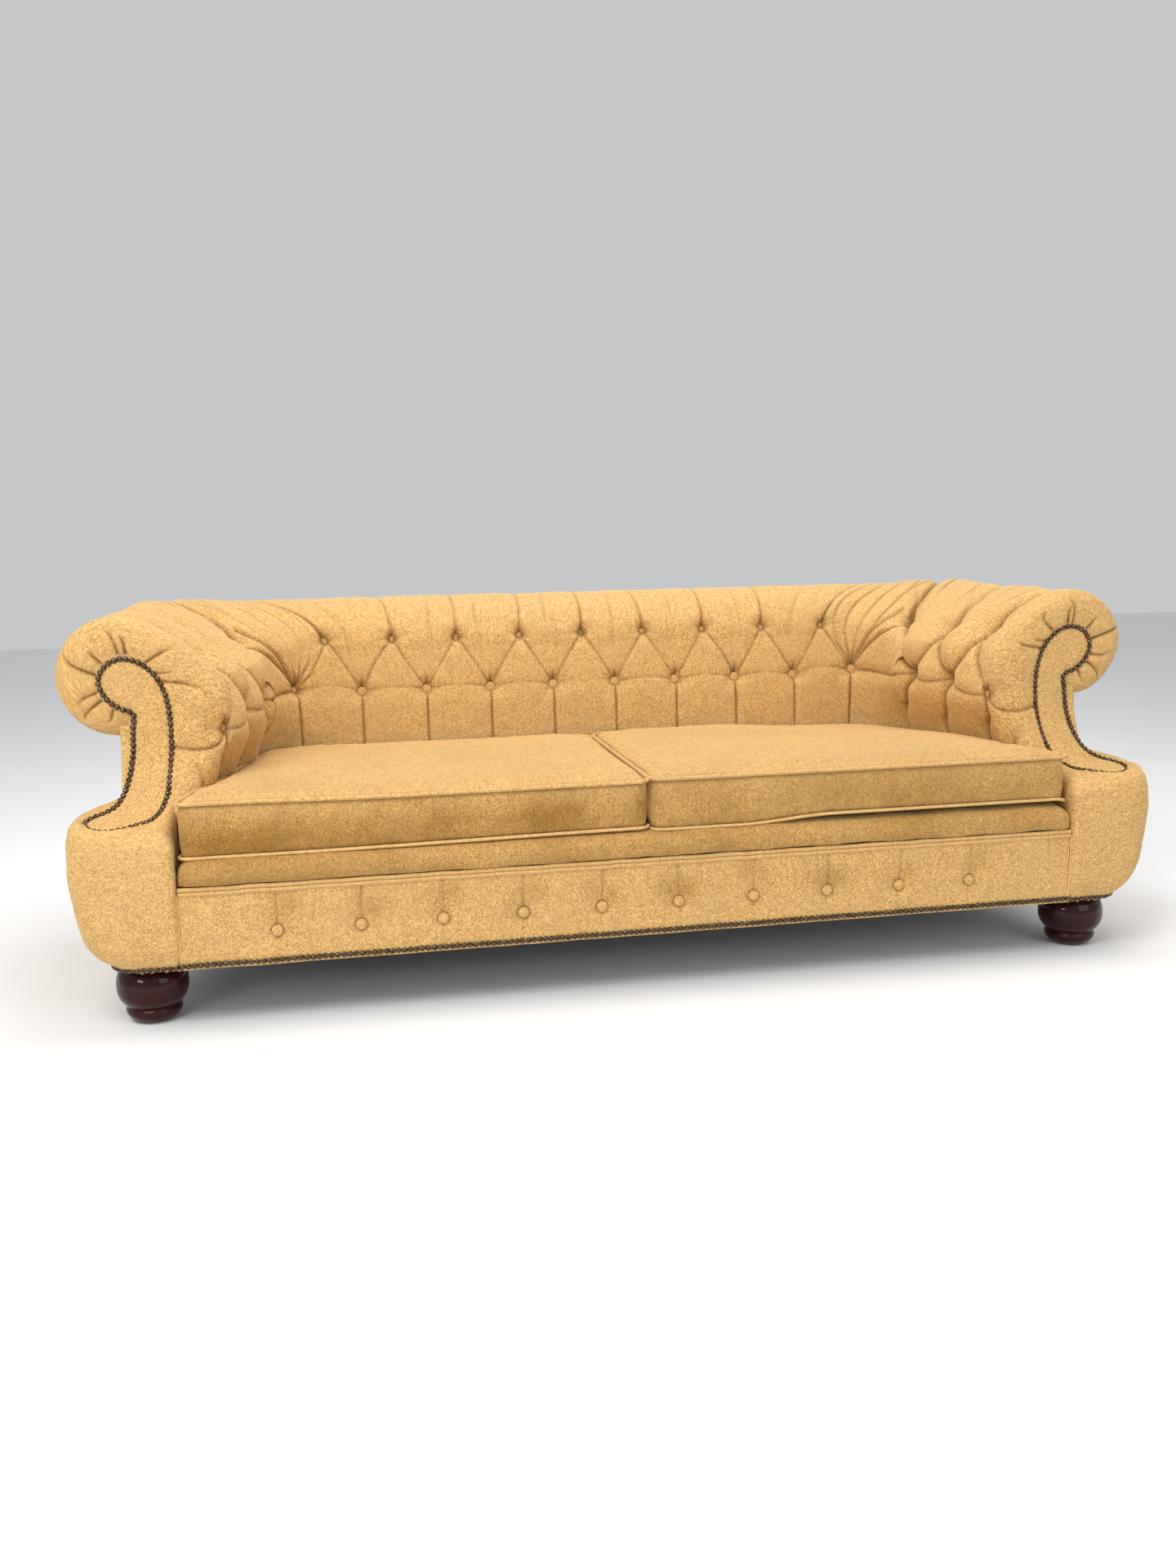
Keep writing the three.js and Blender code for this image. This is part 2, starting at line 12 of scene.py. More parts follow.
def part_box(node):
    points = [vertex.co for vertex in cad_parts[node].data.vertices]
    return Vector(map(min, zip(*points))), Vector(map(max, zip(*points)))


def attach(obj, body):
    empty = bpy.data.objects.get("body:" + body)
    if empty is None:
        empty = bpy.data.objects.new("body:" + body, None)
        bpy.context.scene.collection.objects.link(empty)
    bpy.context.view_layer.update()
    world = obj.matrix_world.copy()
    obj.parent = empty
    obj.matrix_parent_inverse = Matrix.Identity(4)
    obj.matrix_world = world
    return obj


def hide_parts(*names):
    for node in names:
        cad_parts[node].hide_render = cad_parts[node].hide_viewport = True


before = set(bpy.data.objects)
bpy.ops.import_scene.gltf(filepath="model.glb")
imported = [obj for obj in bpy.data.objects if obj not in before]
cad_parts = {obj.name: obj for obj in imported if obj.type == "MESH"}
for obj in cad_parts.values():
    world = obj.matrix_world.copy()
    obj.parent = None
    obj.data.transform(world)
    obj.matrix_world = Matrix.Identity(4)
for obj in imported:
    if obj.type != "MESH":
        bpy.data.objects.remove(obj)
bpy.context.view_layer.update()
rng = random.Random(7)

# ---------------------------------------------------------------- measures, in metres
# Depths are counted from the front panel back. "Right" is +X.
PANEL_LO, PANEL_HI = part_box("front_border_panel")
FRONT = PANEL_LO.y
SEAT_HALF = PANEL_HI.x + 0.001
ARM_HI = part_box("right_arm_pad")[1]
BACK_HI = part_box("back_pad")[1]
DECK_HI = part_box("deck_pad")[1]
BASE_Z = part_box("dust_cover")[0].z

ROLL_R = 0.108
ROLL_X = ARM_HI.x - ROLL_R
ROLL_Z = 0.65
BACK_ROLL_R = 0.105
BACK_ROLL_D = BACK_HI.y - FRONT - BACK_ROLL_R
PUFF = 0.006  # how far the stuffing stands proud of the frame's outline between the folds
ARM_FRONT_D = 0.205  # where the padded wall of an arm starts to turn into its front
CORNER_R = 0.12
BACK_FACE_D = 0.627
CORNER_D = BACK_FACE_D - CORNER_R
ROLL_CORNER_R = 0.142
ROLL_CORNER = (ROLL_X - ROLL_CORNER_R, BACK_ROLL_D - ROLL_CORNER_R)
BACK_LEAN = 0.2
WALL_FOOT_Z = DECK_HI.z - 0.016
WALL_TOP_Z = 0.645


def arm_line(depth):
    """Where the seat cushion meets the arm: x for a depth."""
    return 0.838 - (depth - ARM_FRONT_D) * 0.225


CORNER_X = arm_line(CORNER_D) - CORNER_R
ARM_LEN = (CORNER_D - ARM_FRONT_D) * 1.025
CORNER_LEN = CORNER_R * math.pi / 2
S_CORNER = ARM_LEN + CORNER_LEN
S_END = S_CORNER + CORNER_X

# Heights along the padded section: the wall, the shoulder, the roll and the tuck under it.
SHOULDER_H = WALL_TOP_Z + 0.2
ROLL_H = SHOULDER_H + 0.34
TUCK_H = ROLL_H + 0.035


# ---------------------------------------------------------------- small maths
def ease(t):
    t = np.clip(t, 0.0, 1.0)
    return t * t * (3 - 2 * t)


def unit(v):
    return v / np.maximum(np.linalg.norm(v, axis=-1, keepdims=True), 1e-12)


def spline(knots, points, t):
    """Smooth curve through points at the given knots, at every t."""
    knots = np.asarray(knots, float)
    points = np.asarray(points, float)
    slope = np.gradient(points, knots, axis=0)
    t = np.clip(np.asarray(t, float), knots[0], knots[-1])
    i = np.clip(np.searchsorted(knots, t, side="right") - 1, 0, len(knots) - 2)
    span = knots[i + 1] - knots[i]
    u = ((t - knots[i]) / span)[..., None]
    span = span[..., None]
    a, b = points[i], points[i + 1]
    ma, mb = slope[i] * span, slope[i + 1] * span
    u2, u3 = u * u, u * u * u
    return (2 * u3 - 3 * u2 + 1) * a + (u3 - 2 * u2 + u) * ma + (3 * u2 - 2 * u3) * b + (u3 - u2) * mb


# ---------------------------------------------------------------- padded arms and back: the crest surface
def plan(s):
    """Cushion line, roll centre and way out, for distances s along the padded wall from an arm's front."""
    s = np.asarray(s, float)
    depth = ARM_FRONT_D + (CORNER_D - ARM_FRONT_D) * np.clip(s / ARM_LEN, 0, 1)
    turn = np.clip((s - ARM_LEN) / CORNER_LEN, 0, 1) * math.pi / 2
    x = np.where(s > S_CORNER, np.maximum(S_END - s, 0), CORNER_X)
    on_arm, on_back = s < ARM_LEN, s > S_CORNER
    c, n = np.cos(turn), np.sin(turn)
    face = np.stack([
        np.where(on_arm, arm_line(depth), np.where(on_back, x, CORNER_X + CORNER_R * c)),
        np.where(on_arm, depth, CORNER_D + CORNER_R * n),
    ], -1)
    arm_roll_d = depth + (ROLL_CORNER[1] - CORNER_D) * ease((depth - 0.33) / (CORNER_D - 0.33))
    back_roll_x = x + (ROLL_CORNER[0] - CORNER_X) * ease((x - 0.43) / (CORNER_X - 0.43))
    roll = np.stack([
        np.where(on_arm, ROLL_X, np.where(on_back, back_roll_x, ROLL_CORNER[0] + ROLL_CORNER_R * c)),
        np.where(on_arm, arm_roll_d, ROLL_CORNER[1] + ROLL_CORNER_R * n),
    ], -1)
    return face, roll, np.stack([c, n], -1), turn / (math.pi / 2)


# The line of nails that the arm's cover is pulled to, as heights along the section and (x, depth, z).
NAIL_KNOTS = [
    (0.325, 0.903, 0.112, 0.325),
    (0.385, 0.905, 0.104, 0.385),
    (0.402, 0.921, 0.106, 0.402),
    (0.424, 0.918, 0.128, 0.420),
    (0.453, 0.915, 0.149, 0.450),
    (0.487, 0.912, 0.168, 0.487),
    (0.525, 0.910, 0.178, 0.525),
    (0.578, 0.908, 0.182, 0.578),
    (0.617, 0.914, 0.182, 0.617),
    (0.645, 0.925, 0.182, 0.644),
    (0.700, 0.938, 0.182, 0.662),
    (0.770, 0.960, 0.182, 0.679),
    (0.845, 0.990, 0.182, 0.686),
    (0.930, 1.020, 0.182, 0.673),
    (1.015, 1.034, 0.182, 0.643),
    (1.100, 1.022, 0.182, 0.612),
    (1.185, 0.999, 0.182, 0.592),
    (1.220, 0.975, 0.182, 0.580),
]
NAIL_H = [k[0] for k in NAIL_KNOTS]
NAIL_AT = [k[1:] for k in NAIL_KNOTS]
FRONT_SPAN = 0.1  # nominal distance from the arm's front to its nails, as -s


def shoulder(t, fullness, lean):
    """How far over and how far up the shoulder has gone at t: a quarter turn, rounder the fuller it is."""
    over = 3 * (1 - t) ** 2 * t * lean + 3 * (1 - t) * t**2 * (1 - fullness) + t**3
    rise = 3 * (1 - t) ** 2 * t * fullness + 3 * (1 - t) * t**2 + t**3
    return over, rise


def swept_section(s, h):
    """Crest surface for s >= 0, as (x, depth, z)."""
    face, roll, out, turned = plan(s)
    z = np.minimum(h, WALL_TOP_Z)
    fall = 1 - 0.45 * (1 - turned) * np.clip((z - 0.565) / 0.08, 0, 1) ** 2
    bulge = (0.054 - 0.038 * turned) * ease((z - 0.40) / 0.14) * fall
    q = BACK_LEAN * turned * (z - 0.30) - bulge
    wall = face + out * q[..., None]
    corner = np.sin(math.pi * turned)
    radius = ROLL_R + (BACK_ROLL_R - ROLL_R) * turned + 0.010 * corner + PUFF
    top = ROLL_Z + radius
    up = np.clip((h - WALL_TOP_Z) / (SHOULDER_H - WALL_TOP_Z), 0, 1)
    over = math.pi / 2 - np.clip((h - SHOULDER_H) / (ROLL_H - SHOULDER_H), 0, 1) * math.pi
    tuck = np.clip((h - ROLL_H) / (TUCK_H - ROLL_H), 0, 1)
    # The arms' shoulders slope more than the back's.
    over_roll, rise = shoulder(up, 0.32 + 0.23 * turned, 0.15 * (1 - turned))
    xy = wall + (roll - wall) * over_roll[..., None]
    xy = xy + out * (radius * np.cos(over) * (h > SHOULDER_H))[..., None]
    xy = xy - out * (0.03 * tuck)[..., None]
    z = z + (top - WALL_TOP_Z) * rise
    z = np.where(h > SHOULDER_H, ROLL_Z + radius * np.sin(over), z) + 0.012 * tuck
    return np.concatenate([xy, z[..., None]], -1)


def crest(s, h):
    """Crest surface of the padding on the right half, as (x, depth, z). s < 0 is the arm's front."""
    s, h = np.broadcast_arrays(np.asarray(s, float), np.asarray(h, float))
    body = swept_section(np.maximum(s, 0), h)
    w = np.clip(-s / FRONT_SPAN, 0, 1)[..., None]
    nail = spline(NAIL_H, NAIL_AT, h)
    low = ease((0.56 - h) / 0.12)[..., None]
    reach = 0.022 + 0.55 * (body[..., 1:2] - nail[..., 1:2]) * low
    ahead = np.concatenate([0.32 * low, -np.ones_like(low), np.zeros_like(low)], -1)
    first = body + ahead * reach
    away = unit(body[..., ::2] - nail[..., ::2])
    side = np.stack([away[..., 0], np.full(s.shape, -0.35), away[..., 1]], -1)
    under = ease((h - 1.15) / 0.06)[..., None]
    last = nail + side * (0.042 - 0.01 * low) * (1 - 0.8 * under)
    curved = (
        (1 - w) ** 3 * body + 3 * (1 - w) ** 2 * w * first + 3 * (1 - w) * w**2 * last + w**3 * nail
    )
    return np.where(s[..., None] < 0, curved, body)


def to_world(points):
    """From depths behind the front panel to the frame's own y."""
    points = np.array(points, float)
    points[..., 1] += FRONT
    return points


# ---------------------------------------------------------------- creases, pleats and buttons
class Crease:
    """A fold: the 3-D line it follows, how deep it is along that line and how wide."""

    def __init__(self, points, depth, width, sharp=0.4, cleft=0.010, flat=0.0):
        self.points = np.asarray(points, float)
        steps = np.linspace(0, 1, len(self.points))
        self.depth = np.interp(steps, np.linspace(0, 1, len(depth)), depth)
        self.width = width
        self.sharp = sharp
        self.cleft = min(cleft, width)
        self.flat = flat  # half the width of the flat at its bottom


def on_crest(side, path):
    """Points every few millimetres along a path of (s, h), smoothed, on the crest surface."""
    path = np.asarray(path, float)
    t = np.linspace(0, len(path) - 1, 12 * (len(path) - 1) + 1)
    if len(path) > 2:
        sh = spline(np.arange(len(path)), path, t)
    else:
        sh = path[0] + (path[1] - path[0]) * t[:, None]
    points = crest(sh[:, 0], sh[:, 1])
    points[:, 0] *= side
    return points


def distance_along(crease, p):
    """Distance from each point to the fold's line, and the fold's depth at the nearest place."""
    best = np.full(len(p), 9.0)
    depth = np.zeros(len(p))
    lines = zip(crease.points, crease.points[1:], crease.depth, crease.depth[1:])
    for a, b, depth_a, depth_b in lines:
        ab = b - a
        t = np.clip(((p - a) @ ab) / max(ab @ ab, 1e-12), 0, 1)
        d = np.linalg.norm(p - (a + t[:, None] * ab), axis=1)
        depth = np.where(d < best, depth_a + (depth_b - depth_a) * t, depth)
        best = np.minimum(best, d)
    return best, depth


def fold_depths(points, creases):
    """How far the cover is pulled in at each point, and how deep in a fold's cleft it lies."""
    broad = np.zeros(len(points))
    fine = np.zeros(len(points))
    cleft = np.zeros(len(points))
    for c in creases:
        lo, hi = c.points.min(0) - c.width, c.points.max(0) + c.width
        near = np.nonzero(((points >= lo) & (points <= hi)).all(1))[0]
        if not len(near):
            continue
        d, depth = distance_along(c, points[near])
        d = np.maximum(d - c.flat, 0)
        wide = (1 - np.clip(d / c.width, 0, 1)) ** 2
        narrow = (1 - np.clip(d / c.cleft, 0, 1)) ** 2
        pull = depth * ((1 - c.sharp) * wide + c.sharp * narrow)
        if c.width > 0.02:
            broad[near] += pull**3
        else:
            fine[near] += pull
        # The cleft values mark where the cloth is painted darker as shade in the folds.
        cleft[near] = np.maximum(cleft[near], narrow * np.clip(depth / 0.007, 0, 1))
    return np.cbrt(broad) + fine, cleft


# Buttons, as (s, h) on the right half.
ARM_LOW = [(-0.028, 0.541), (0.122, 0.564), (0.256, 0.565)]
ARM_TOP = [(0.075, 0.712), (0.205, 0.706), (0.372, 0.703)]
CORNER_BUTTON = (S_CORNER - 0.018, 0.560)
BUTTON_PITCH = 0.1515
BACK_LOW = [(S_END - BUTTON_PITCH * (k + 0.5), 0.552) for k in range(4)]
BACK_TOP = [(S_END - BUTTON_PITCH * k, 0.672) for k in range(5)]
BACK_BUTTONS = BACK_LOW + BACK_TOP + [CORNER_BUTTON]
ARM_BUTTONS = ARM_LOW + ARM_TOP


def arm_channels(side):
    """The upright pleats from the arm's low buttons to the seat, and the creases between those buttons."""
    made = []
    for i, (s, h) in enumerate(ARM_LOW):
        foot = s + (0.056, 0.050, 0.072)[i]
        path = on_crest(side, [(s, h), (0.55 * s + 0.45 * foot, 0.49), (foot, 0.44), (foot, 0.34)])
        top = 0.024 if s < 0 else 0.044
        made.append(Crease(path, [top, 0.034, 0.027, 0.018], 0.070, sharp=0.45))
    path = on_crest(side, [(-0.060, 0.48), (-0.03, 0.43), (-0.025, 0.36)])
    made.append(Crease(path, [0.001, 0.007, 0.006], 0.03))
    row = ARM_LOW + [CORNER_BUTTON]
    for (s0, h0), (s1, h1) in zip(row, row[1:]):
        path = on_crest(side, [(s0, h0), ((s0 + s1) / 2, (h0 + h1) / 2 - 0.012), (s1, h1)])
        made.append(Crease(path, [0.018, 0.007, 0.016], 0.030, cleft=0.007))
    s, h = ARM_LOW[0]
    path = on_crest(side, [(s, h), (s - 0.010, h - 0.028), (s - 0.035, h - 0.034), (-FRONT_SPAN, h - 0.026)])
    made.append(Crease(path, [0.026, 0.014, 0.010, 0.009], 0.028, sharp=0.6, cleft=0.006))
    return made


# How a fold over an arm's crest runs: the share of its lean that it has taken up at each height.
CREST_RUN = [(0.1, 0.77), (0.45, 0.87), (1.0, 1.02), (1.3, 1.15)]


def arm_diamonds(side, r):
    """The folds between an arm's two rows of buttons, and from the top row over the crest to the roll."""
    made = []
    row = ARM_LOW + [CORNER_BUTTON]
    for i, (s, h) in enumerate(ARM_TOP):
        for s0, h0 in row[i : i + 2]:
            if (s0, h0) == CORNER_BUTTON:
                continue
            bow = 0.014 if s0 < s else -0.014
            bend = ((s + s0) / 2 + bow, (h + h0) / 2 - 0.004)
            low = 0.024 if s0 < 0 else 0.042
            path = on_crest(side, [(s0, h0), bend, (s, h)])
            made.append(Crease(path, [low, 0.036, 0.042], 0.062, sharp=0.5))
        lean = (0.05, 0.07, 0.08)[i]
        over = [(s, h)] + [(s + share * lean, high) for share, high in CREST_RUN]
        made.append(Crease(on_crest(side, over), [0.044, 0.036, 0.027, 0.018, 0.008], 0.058, sharp=0.55))
        for shift in (-0.040, 0.044):
            a = s + shift * r.uniform(0.75, 1.2)
            start = (a, 0.75 + 0.03 * r.random())
            path = [start, (a + 0.4 * lean, 0.86), (a + 0.9 * lean, r.uniform(0.96, 1.08))]
            made.append(Crease(on_crest(side, path), [0.001, 0.011, 0.001], 0.026, sharp=0.6, cleft=0.007))
        for shift in (-0.012, 0.012):
            path = [(s + shift * 0.4, h + 0.006), (s + shift, h + 0.05), (s + 1.6 * shift + 0.3 * lean, 0.80)]
            made.append(Crease(on_crest(side, path), [0.006, 0.004, 0.0005], 0.012, sharp=0.5))
    return made


# Pleats round the scroll's nails: where each starts along the nails, how long it is and how deep.
SCROLL_PLEATS = [
    (0.640, 0.052, 0.011),
    (0.668, 0.026, 0.006),
    (0.742, 0.058, 0.012),
    (0.822, 0.040, 0.015),
    (0.850, 0.062, 0.010),
    (0.930, 0.034, 0.011),
    (0.985, 0.085, 0.015),
    (1.060, 0.048, 0.010),
    (1.095, 0.070, 0.013),
    (1.165, 0.040, 0.009),
]


SCROLL_NAIL_S = -0.099  # where those nails are, as a distance along the crest


def scroll_pleats(side, r):
    made = []
    for h, length, depth in SCROLL_PLEATS:
        drift = r.uniform(-0.034, 0.034)
        middle = (SCROLL_NAIL_S + 0.6 * length, h + drift * 0.3)
        path = on_crest(side, [(SCROLL_NAIL_S, h), middle, (SCROLL_NAIL_S + length, h + drift)])
        made.append(Crease(path, [depth, 0.8 * depth, 0.0005], 0.019, sharp=0.7, cleft=0.0055))
    return made


# The folds over a corner's crest: how far each spreads sideways, and how deep it is.
CORNER_CREST_FOLDS = [(-0.060, 0.009), (-0.022, 0.006), (0.012, 0.008), (0.045, 0.005)]


def corner_folds(side, r):
    """Where arm and back meet: strong folds to the arm's last button and a few long ones over the crest."""
    made = []
    s, h = CORNER_BUTTON
    st, ht = ARM_TOP[2]
    pull = 0.45 if side > 0 else 1.0  # the left corner's folds between buttons are the deeper
    crest_pull = 1.1 if side > 0 else 0.5  # and the right corner's are the deeper over the crest
    for lift, depth in ((0.0, 0.034 * pull), (0.024, 0.024 * pull)):
        middle = ((s + st) / 2 + 0.02, (h + ht) / 2 - 0.012 + lift)
        path = on_crest(side, [(s, h + 0.3 * lift), middle, (st + lift, ht - 0.004 + lift)])
        width = 0.030 + 0.5 * lift
        made.append(Crease(path, [depth, 0.8 * depth, depth], width, sharp=0.6, cleft=0.008))
    for spread, base in CORNER_CREST_FOLDS:
        tip = s + spread * r.uniform(0.95, 1.05)
        depth = base * crest_pull
        rising = [(s, h + 0.01), (s + 0.55 * spread, 0.64), (tip, 0.74)]
        path = rising + [(tip + 0.15 * spread, 0.86), (tip, 0.98)]
        depths = [0.013, 0.5 * depth, depth, 0.6 * depth, 0.001]
        made.append(Crease(on_crest(side, path), depths, 0.026, sharp=0.6, cleft=0.006))
    return made


def back_channels(side):
    made = []
    row = [CORNER_BUTTON] + BACK_LOW[::-1]
    for s, h in row:
        path = on_crest(side, [(s, h), (s, 0.45), (s, 0.34)])
        made.append(Crease(path, [0.012, 0.0075, 0.0070], 0.028, sharp=0.7, cleft=0.005))
    ends = row[1:] + [(S_END, row[-1][1])]
    for (s0, h0), (s1, h1) in zip(row, ends):
        deep_end = 0.0015 if s1 == S_END else 0.007
        path = on_crest(side, [(s0, h0), ((s0 + s1) / 2, h0 + 0.006), (s1, h1)])
        made.append(Crease(path, [0.007, 0.0015, deep_end], 0.022, sharp=0.5, cleft=0.006))
    return made


def back_diamonds(side, r):
    """The folds above the back's low buttons, which fade and wander as pulled cloth does."""
    made = []
    lows = [CORNER_BUTTON] + BACK_LOW[::-1]
    for s, h in BACK_TOP:
        for s0, h0 in lows:
            if abs(s0 - s) > 0.62 * BUTTON_PITCH + 0.015:
                continue
            fade = r.uniform(0.15, 0.60)
            bow = r.uniform(-0.003, 0.007) * np.sign(s0 - s)
            bend = ((s + s0) / 2 + bow, (h + h0) / 2 + r.uniform(-0.008, 0.004))
            path = on_crest(side, [(s0, h0), bend, (s, h)])
            depths = [0.015, 0.002 + 0.009 * fade, 0.006, 0.015]
            made.append(Crease(path, depths, 0.030, sharp=0.6, cleft=0.005))
        tilt = r.uniform(-0.008, 0.008)
        if side < 0 and s == S_END:
            continue  # the middle one is there already
        path = on_crest(side, [(s, h), (s + tilt, 0.76), (s + 2 * tilt, 0.87), (s + tilt, 1.0)])
        made.append(Crease(path, [0.015, 0.006, 0.004, 0.0005], 0.028, sharp=0.6, cleft=0.006))
        made.append(Crease(on_crest(side, [(s, h), (s + tilt * 0.5, h + 0.030)]), [0.010, 0.001], 0.013))
    for s, h in BACK_LOW:
        for low, high, depth in ((0.64, 0.84, 0.004), (0.60, 0.74, 0.003)):
            drift = r.uniform(-0.022, 0.022)
            path = [(s + drift, low), (s + 1.5 * drift, (low + high) / 2), (s + 1.2 * drift, high)]
            made.append(Crease(on_crest(side, path), [0.0005, depth, 0.0005], 0.018, sharp=0.5, cleft=0.006))
    return made


def wrinkles(side, buttons, r, count, depth):
    """Short wrinkles that radiate from each button."""
    made = []
    for s, h in buttons:
        for _ in range(count):
            a = r.uniform(0, 2 * math.pi)
            far = r.uniform(0.025, 0.060)
            curl = r.uniform(-0.3, 0.3)
            path = [
                (s + 0.007 * math.cos(a), h + 0.007 * math.sin(a)),
                (s + 0.6 * far * math.cos(a + 0.5 * curl), h + 0.6 * far * math.sin(a + 0.5 * curl)),
                (s + far * math.cos(a + curl), h + far * math.sin(a + curl)),
            ]
            made.append(Crease(on_crest(side, path), [depth * r.uniform(0.5, 1), 0.0002], 0.008, sharp=0.4))
    return made


def pits(side, buttons, depth, width):
    made = []
    for s, h in buttons:
        if side < 0 and s == S_END:
            continue
        spot = on_crest(side, [(s, h), (s + 1e-4, h)])
        made.append(Crease(spot, [depth], width, sharp=0.3, cleft=0.012, flat=0.008))
        pocket = on_crest(side, [(s, h + 0.010), (s, h + 0.026)])
        made.append(Crease(pocket, [0.7 * depth, 0.003], 0.015, sharp=0.6, cleft=0.011))
    return made


def all_creases():
    made = []
    for side in (1, -1):
        r = random.Random(20 + side)
        made += arm_channels(side) + arm_diamonds(side, r) + scroll_pleats(side, r)
        made += corner_folds(side, r) + back_channels(side) + back_diamonds(side, r)
        made += pits(side, ARM_BUTTONS[:1], 0.022, 0.050) + pits(side, ARM_BUTTONS[1:], 0.042, 0.064)
        made += pits(side, BACK_BUTTONS, 0.017, 0.040)
        made += wrinkles(side, ARM_BUTTONS, r, 5, 0.003) + wrinkles(side, BACK_BUTTONS, r, 8, 0.0028)
    return made


CREASES = all_creases()


# ---------------------------------------------------------------- mesh helpers
def mesh_object(name, verts, faces, smooth=True):
    mesh = bpy.data.meshes.new(name)
    mesh.from_pydata(np.asarray(verts, float).tolist(), [], [list(map(int, f)) for f in faces])
    mesh.validate()
    mesh.update()
    if smooth:
        mesh.shade_smooth()
    obj = bpy.data.objects.new(name, mesh)
    bpy.context.scene.collection.objects.link(obj)
    return obj


def grid_faces(rows, cols, closed=False, flip=False):
    """Quads of a grid of rows x cols points. closed joins the last column to the first."""
    i, j = np.meshgrid(np.arange(rows - 1), np.arange(cols if closed else cols - 1), indexing="ij")
    k = (j + 1) % cols
    quads = np.stack([i * cols + j, i * cols + k, (i + 1) * cols + k, (i + 1) * cols + j], -1).reshape(-1, 4)
    return quads[:, ::-1] if flip else quads


def grid_normals(points):
    return unit(np.cross(np.gradient(points, axis=1), np.gradient(points, axis=0)))


def lengths(points):
    """Distance along a line of points, from its first."""
    steps = np.linalg.norm(np.diff(points, axis=0), axis=1)
    return np.concatenate([[0], np.cumsum(steps)])


def resample(points, count):
    """The same line as count evenly spaced points."""
    points = np.asarray(points, float)
    along = lengths(points)
    even = np.linspace(0, along[-1], count)
    return np.stack([np.interp(even, along, points[:, k]) for k in range(points.shape[1])], -1)


def rounded(corners, radii, closed=False, turns=7):
    """A line through corners, each rounded to its radius."""
    corners = [np.asarray(c, float) for c in corners]
    n = len(corners)
    made = []
    for i, (c, radius) in enumerate(zip(corners, radii)):
        if radius <= 0 or (not closed and i in (0, n - 1)):
            made.append(c)
            continue
        a = unit(corners[i - 1] - c)
        b = unit(corners[(i + 1) % n] - c)
        half = math.acos(float(np.clip(a @ b, -1, 1))) / 2
        back = radius / math.tan(half)
        start, end = c + a * back, c + b * back
        for t in np.linspace(0, 1, turns):
            made.append((1 - t) ** 2 * start + 2 * t * (1 - t) * c + t * t * end)
    return np.array(made)


def ripple(points, size, seed):
    """Smooth random height between -1 and 1 with bumps about size apart."""
    r = np.random.default_rng(seed)
    total = np.zeros(len(points))
    for _ in range(7):
        way = unit(r.normal(size=3))
        total += np.sin(points @ way * (2 * math.pi / size) * r.uniform(0.6, 1.4) + r.uniform(0, 6.3))
    return total / 4


def paint(obj, name, values):
    """Stores a number or a vector for each vertex, for the material to read."""
    values = np.asarray(values, np.float32)
    kind, key = ("FLOAT", "value") if values.ndim == 1 else ("FLOAT_VECTOR", "vector")
    layer = obj.data.attributes.new(name, kind, "POINT")
    layer.data.foreach_set(key, values.ravel())


def lay_cloth(obj, u, v):
    """Says how the weave lies: u across and v along the cloth at each vertex, in metres."""
    paint(obj, "weave", np.stack([u, v, np.zeros_like(u)], -1))


def lay_grid(obj, points):
    """Lays the weave along a grid's own rows and columns."""
    across = lengths(points[:, points.shape[1] // 2])
    steps = np.linalg.norm(np.diff(points, axis=1), axis=2)
    v = np.pad(np.cumsum(steps, axis=1), ((0, 0), (1, 0)))
    u = np.repeat(across, points.shape[1])
    lay_cloth(obj, u, v.ravel())


def lay_box(obj):
    """Lays the weave flat on each side of a boxy piece, by which way its surface faces."""
    n = len(obj.data.vertices)
    co = np.empty(n * 3)
    no = np.empty(n * 3)
    obj.data.vertices.foreach_get("co", co)
    obj.data.vertices.foreach_get("normal", no)
    co, no = co.reshape(-1, 3), np.abs(no.reshape(-1, 3))
    on_top = no[:, 2] > np.maximum(no[:, 0], no[:, 1])
    on_side = ~on_top & (no[:, 0] > no[:, 1])
    u = np.where(on_side, co[:, 1], co[:, 0])
    v = np.where(on_top, co[:, 1], co[:, 2])
    lay_cloth(obj, u, v)


def finish_piece(obj, material, body="root", slot=None, stands_for=(), fill=None):
    obj.data.materials.append(material)
    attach(obj, body)
    if stands_for:
        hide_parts(*stands_for)
    return obj


def soft_cloth(obj, **facts):
    return finish_piece(obj, FABRIC, slot="mustard_chenille", **facts)


def tube(name, points, radius, sides=10, closed=False, wear=1.0):
    """A round cord along a line of points."""
    points = np.asarray(points, float)
    ahead = np.roll(points, -1, 0) - np.roll(points, 1, 0)
    if not closed:
        ahead[0], ahead[-1] = points[1] - points[0], points[-1] - points[-2]
    ahead = unit(ahead)
    side = unit(np.cross(ahead, [0, 0.02, 1.0]))
    up = np.cross(side, ahead)
    a = np.linspace(0, 2 * math.pi, sides, endpoint=False)
    ring = np.cos(a)[None, :, None] * side[:, None] + np.sin(a)[None, :, None] * up[:, None]
    verts = points[:, None] + ring * radius
    if closed:
        verts = np.concatenate([verts, verts[:1]])
    obj = mesh_object(name, verts.reshape(-1, 3), grid_faces(len(verts), sides, closed=True, flip=True))
    u, v = np.meshgrid(lengths(verts[:, 0]), a * radius, indexing="ij")
    lay_cloth(obj, u.ravel(), v.ravel())
    paint(obj, "wear", np.full(verts.shape[0] * sides, wear))
    return obj


def scatter(name, base_verts, base_faces, placements):
    """One mesh with a copy of the base at each 4x4 placement."""
    verts, faces = [], []
    for k, m in enumerate(placements):
        m = np.array(m)
        verts.append(base_verts @ m[:3, :3].T + m[:3, 3])
        faces.append(base_faces + k * len(base_verts))
    return mesh_object(name, np.concatenate(verts), np.concatenate(faces))


